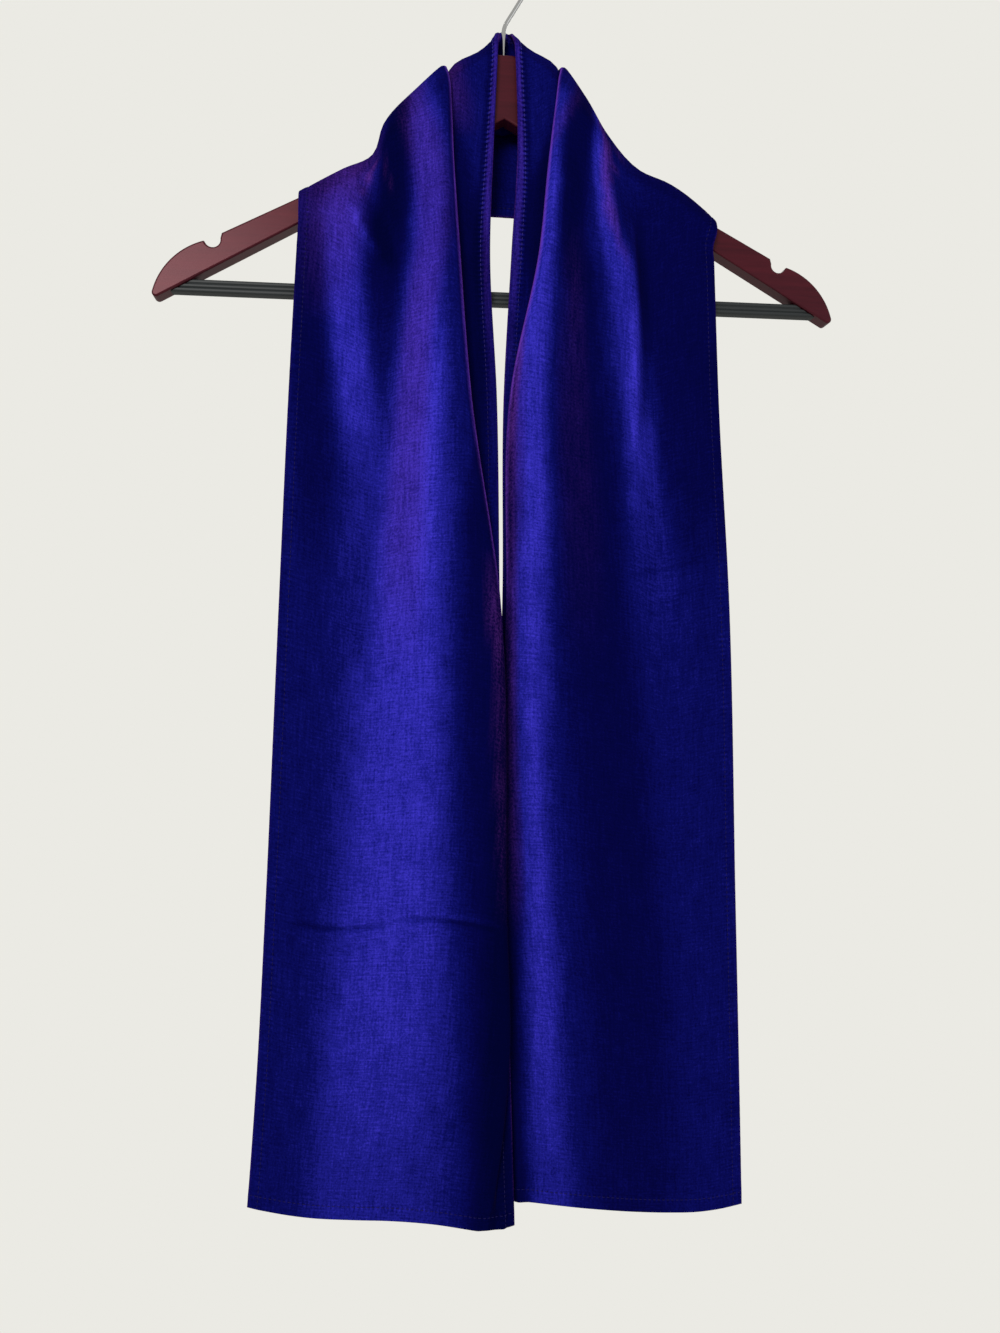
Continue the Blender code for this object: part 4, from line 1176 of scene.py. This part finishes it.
def build_bar():
    """The bar: its section carried straight from arm to arm, mitred to their undersides."""
    loop = bar_loop()
    heights = BAR_TOP_HEIGHT - 0.5 * BAR_HEIGHT + loop[:, 1]
    lift = ARM_UNDER_HEIGHT - BAR_GAP * math.hypot(1.0, ARM_UNDER_SLOPE)
    reach = (lift - heights) / ARM_UNDER_SLOPE
    share = np.linspace(-1.0, 1.0, 9)[:, None]
    spread = np.broadcast_to(loop[:, 0], (9, len(loop)))
    points = np.stack([share * reach, spread, np.broadcast_to(heights, (9, len(loop)))], axis=-1)
    index = np.arange(9 * len(loop)).reshape(9, len(loop))
    index = np.concatenate([index, index[:, :1]], axis=1)
    faces = quads(index).tolist()
    faces.append(index[0, :-1][::-1].tolist())
    faces.append(index[-1, :-1].tolist())
    bar = add_piece("ribbed_bar", place(points), faces, bar_material())
    bar.data.set_sharp_from_angle(angle=math.radians(50))
    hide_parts("hanger_bar")
    return bar


def hook_path():
    """The wire's middle line as (x, height): shank, bend, lean, then round the crook."""
    turn = math.pi / 2 - BEND_LEAN
    reach = BEND_RADIUS * math.tan(turn / 2)
    bend_start = BEND_HEIGHT - reach
    bend = arc((BEND_RADIUS, bend_start), BEND_RADIUS, math.pi, math.pi - turn, 12)
    crook = arc((0.0, CROOK_HEIGHT), CROOK_RADIUS, BEND_LEAN - math.pi / 2, CROOK_END, 72)
    shank = [(0.0, -SHANK_DEPTH + i * (SHANK_DEPTH + bend_start) / 8) for i in range(8)]
    return np.array(shank + bend + crook)


def build_hook():
    """The wire: a circle carried along its path, its far end closed by a dome."""
    path = hook_path()
    tangent = unit(np.gradient(path, axis=0))
    aside = np.stack([tangent[:, 1], -tangent[:, 0]], axis=-1)
    angles = np.linspace(0.0, 2.0 * math.pi, 17)[:-1]
    dome = np.linspace(0.0, 0.5 * math.pi, 6)[1:]
    middle = np.concatenate([path, path[-1] + WIRE_RADIUS * np.sin(dome)[:, None] * tangent[-1]])
    radius = np.concatenate([np.full(len(path), WIRE_RADIUS), WIRE_RADIUS * np.cos(dome)])
    aside = np.concatenate([aside, np.repeat(aside[-1:], len(dome), axis=0)])
    out = radius[:, None] * np.cos(angles)
    points = np.stack([middle[:, :1] + out * aside[:, :1], radius[:, None] * np.sin(angles),
                       middle[:, 1:] + out * aside[:, 1:]], axis=-1)
    rows = len(middle)
    index = np.arange(rows * 16).reshape(rows, 16)
    index = np.concatenate([index, index[:, :1]], axis=1)
    faces = quads(index).tolist()
    faces.append(index[0, :-1][::-1].tolist())
    hook = add_piece("chromed_hook", place(points), faces, chrome_material())
    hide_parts("hanger_hook")
    return hook


# The photograph's camera, solved from the hanger: its place in mm, its turn to the right, and its
# focal length as a share of the picture's height
CAMERA_PLACE = (-76.1, -651.85, -398.0)
CAMERA_TURN = 0.1127
CAMERA_FOCAL = 1000.0 / 1333.0
SENSOR_HEIGHT = 36.0
# The floor lies where the photograph doesn't reach it, under the hung scarf
FLOOR_HEIGHT = -1450.0
FLOOR_HALF_WIDTH = 800.0
# The soft lights and what they point at, in mm. share is of the key light's power.
Light = namedtuple("Light", "name place size share colour")
LIGHTS = [
    Light("key", (-900, -2300, 500), 900, 1.0, (1.0, 0.98, 0.95)),
    Light("fill", (1700, -1500, -200), 1600, 0.12, (0.95, 0.97, 1.0)),
    Light("back", (600, 2400, 700), 1600, 0.35, (1.0, 1.0, 1.0)),
]
LIT_PLACE = (0, 0, -380)
# The surroundings' strength on the object, and where the camera sees them
ROOM_LIGHT = 0.4
ROOM_SEEN = 1.0


def stage_material():
    """Matt painted board: pale, warm white, very slightly uneven."""
    material, tree, shader = new_material("painted_board")
    place_in = add_node(tree, "ShaderNodeTexCoord").outputs["Object"]
    cloud = add_node(tree, "ShaderNodeTexNoise", {"Vector": place_in, "Scale": 1.5}).outputs["Fac"]
    tree.links.new(two_tones(tree, cloud, srgb("DEDCD4"), srgb("E6E4DD")), shader.inputs["Base Color"])
    shader.inputs["Roughness"].default_value = 0.9
    return material


def add_light(row, power):
    """A square soft light of the table, turned towards the scarf."""
    data = bpy.data.lights.new(row.name, "AREA")
    data.size = row.size * MM
    data.energy = power
    data.color = row.colour
    light = bpy.data.objects.new(row.name, data)
    start, end = place(row.place), place(LIT_PLACE)
    light.location = start
    aim = end - start
    tilt = math.acos(-aim[2] / np.linalg.norm(aim))
    light.rotation_euler = (tilt, 0.0, math.atan2(aim[0], -aim[1]) + math.pi)
    bpy.context.scene.collection.objects.link(light)
    return light


def build_stage(settings):
    """Pale floor and surroundings, soft light from the front left, and the camera."""
    corners = FLOOR_HALF_WIDTH * MM * np.array([(-1.0, -1.0), (1.0, -1.0), (1.0, 1.0), (-1.0, 1.0)])
    height = (FLOOR_HEIGHT - CROWN_HEIGHT) * MM
    mesh = bpy.data.meshes.new("floor")
    mesh.from_pydata([(x, y, height) for x, y in corners], [], [(0, 1, 2, 3)])
    add_object("floor", mesh, stage_material())

    for light in LIGHTS:
        add_light(light, light.share * settings.key_power)

    world = bpy.data.worlds.new("pale_room")
    bpy.context.scene.world = world
    world.use_nodes = True
    tree = world.node_tree
    background = tree.nodes["Background"]
    rays = add_node(tree, "ShaderNodeLightPath")
    strength = add_node(tree, "ShaderNodeMapRange",
                        {"Value": rays.outputs["Is Camera Ray"], "To Min": ROOM_LIGHT, "To Max": ROOM_SEEN})
    background.inputs["Color"].default_value = srgb("EBEAE4")
    tree.links.new(strength.outputs[0], background.inputs["Strength"])

    data = bpy.data.cameras.new("camera")
    data.sensor_fit = "VERTICAL"
    data.sensor_height = SENSOR_HEIGHT
    data.lens = CAMERA_FOCAL * SENSOR_HEIGHT
    data.clip_start = 0.01
    camera = bpy.data.objects.new("camera", data)
    camera.location = place(CAMERA_PLACE)
    camera.rotation_euler = (0.5 * math.pi, 0.0, -CAMERA_TURN)
    bpy.context.scene.collection.objects.link(camera)
    bpy.context.scene.camera = camera
    bpy.context.scene.view_settings.view_transform = "Standard"


def length_setting(name, description, default):
    """A setting that is a length in metres."""
    return bpy.props.FloatProperty(name=name, description=description, default=default,
                                   subtype="DISTANCE", unit="LENGTH")


def colour_setting(name, description, code):
    """A setting that is a colour, from its sRGB hex code."""
    return bpy.props.FloatVectorProperty(name=name, description=description, default=srgb(code)[:3],
                                         subtype="COLOR")


class ScarfSettings(bpy.types.PropertyGroup):
    """Sizes and colours that a user would change."""

    stitch_length: length_setting("Stitch Length", "Length of one topstitch", 0.0024)
    stitch_pitch: length_setting("Stitch Pitch", "From one stitch to the next", 0.0031)
    wood_easing: length_setting("Wood Easing", "Radius of the wooden body's edges", 0.0025)
    key_power: bpy.props.FloatProperty(
        name="Key Power", description="Power of the soft key light", default=26.0, unit="POWER")
    # The velvet's ramp: trough and shade are painted shade, navy and pile its own blues, bloom a painted
    # highlight
    trough_shade_colour: colour_setting("Trough Colour", "Velvet where the pile swallows the light", "030639")
    shade_colour: colour_setting("Shade Colour", "Velvet on a slope", "080951")
    navy_colour: colour_setting("Navy Colour", "Velvet that hangs flat", "101372")
    pile_colour: colour_setting("Pile Colour", "The velvet's own blue", "2727AB")
    highlight_colour: colour_setting("Bloom Colour", "Velvet where the pile faces the light", "4941EE")
    # The ground's tint is also the painted pink sheen at the rims, the ridge and fold edges
    ground_and_sheen_colour: colour_setting(
        "Ground Colour", "The red ground's tint where the pile is crushed or opened", "8A44BE")
    lacquer_colour: colour_setting("Lacquer Colour", "Stain of the wooden body", "5C1A28")


class SCARF_OT_cloth(bpy.types.Operator):
    """Build the velvet with its turned edges, and its topstitching"""

    bl_idname = "scarf.cloth"
    bl_label = "Velvet Scarf"

    def execute(self, context):
        build_scarf(context.scene.scarf_settings)
        return {"FINISHED"}


class SCARF_OT_hanger(bpy.types.Operator):
    """Build the wooden body, the ribbed bar and the chromed hook"""

    bl_idname = "scarf.hanger"
    bl_label = "Wooden Hanger"

    def execute(self, context):
        build_hanger_wood(context.scene.scarf_settings)
        build_bar()
        build_hook()
        return {"FINISHED"}


class SCARF_OT_stage(bpy.types.Operator):
    """Add the pale floor, the soft lights and the camera"""

    bl_idname = "scarf.stage"
    bl_label = "Plain Studio"

    def execute(self, context):
        build_stage(context.scene.scarf_settings)
        return {"FINISHED"}


class SCARF_PT_panel(bpy.types.Panel):
    """Lists the pieces and the settings"""

    bl_idname = "SCARF_PT_panel"
    bl_label = "Velvet Scarf"
    bl_space_type = "VIEW_3D"
    bl_region_type = "UI"
    bl_category = "Scarf"

    def draw(self, context):
        settings = context.scene.scarf_settings
        for name in ScarfSettings.__annotations__:
            self.layout.prop(settings, name)
        for operator in (SCARF_OT_hanger, SCARF_OT_cloth, SCARF_OT_stage):
            self.layout.operator(operator.bl_idname)


CLASSES = (ScarfSettings, SCARF_OT_cloth, SCARF_OT_hanger, SCARF_OT_stage, SCARF_PT_panel)


def register():
    for item in CLASSES:
        bpy.utils.register_class(item)
    bpy.types.Scene.scarf_settings = bpy.props.PointerProperty(type=ScarfSettings)


def unregister():
    del bpy.types.Scene.scarf_settings
    for item in reversed(CLASSES):
        bpy.utils.unregister_class(item)


def main():
    """Builds every piece."""
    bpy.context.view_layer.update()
    register()
    bpy.ops.scarf.hanger()
    bpy.ops.scarf.cloth()
    bpy.ops.scarf.stage()


if __name__ == "__main__":
    main()
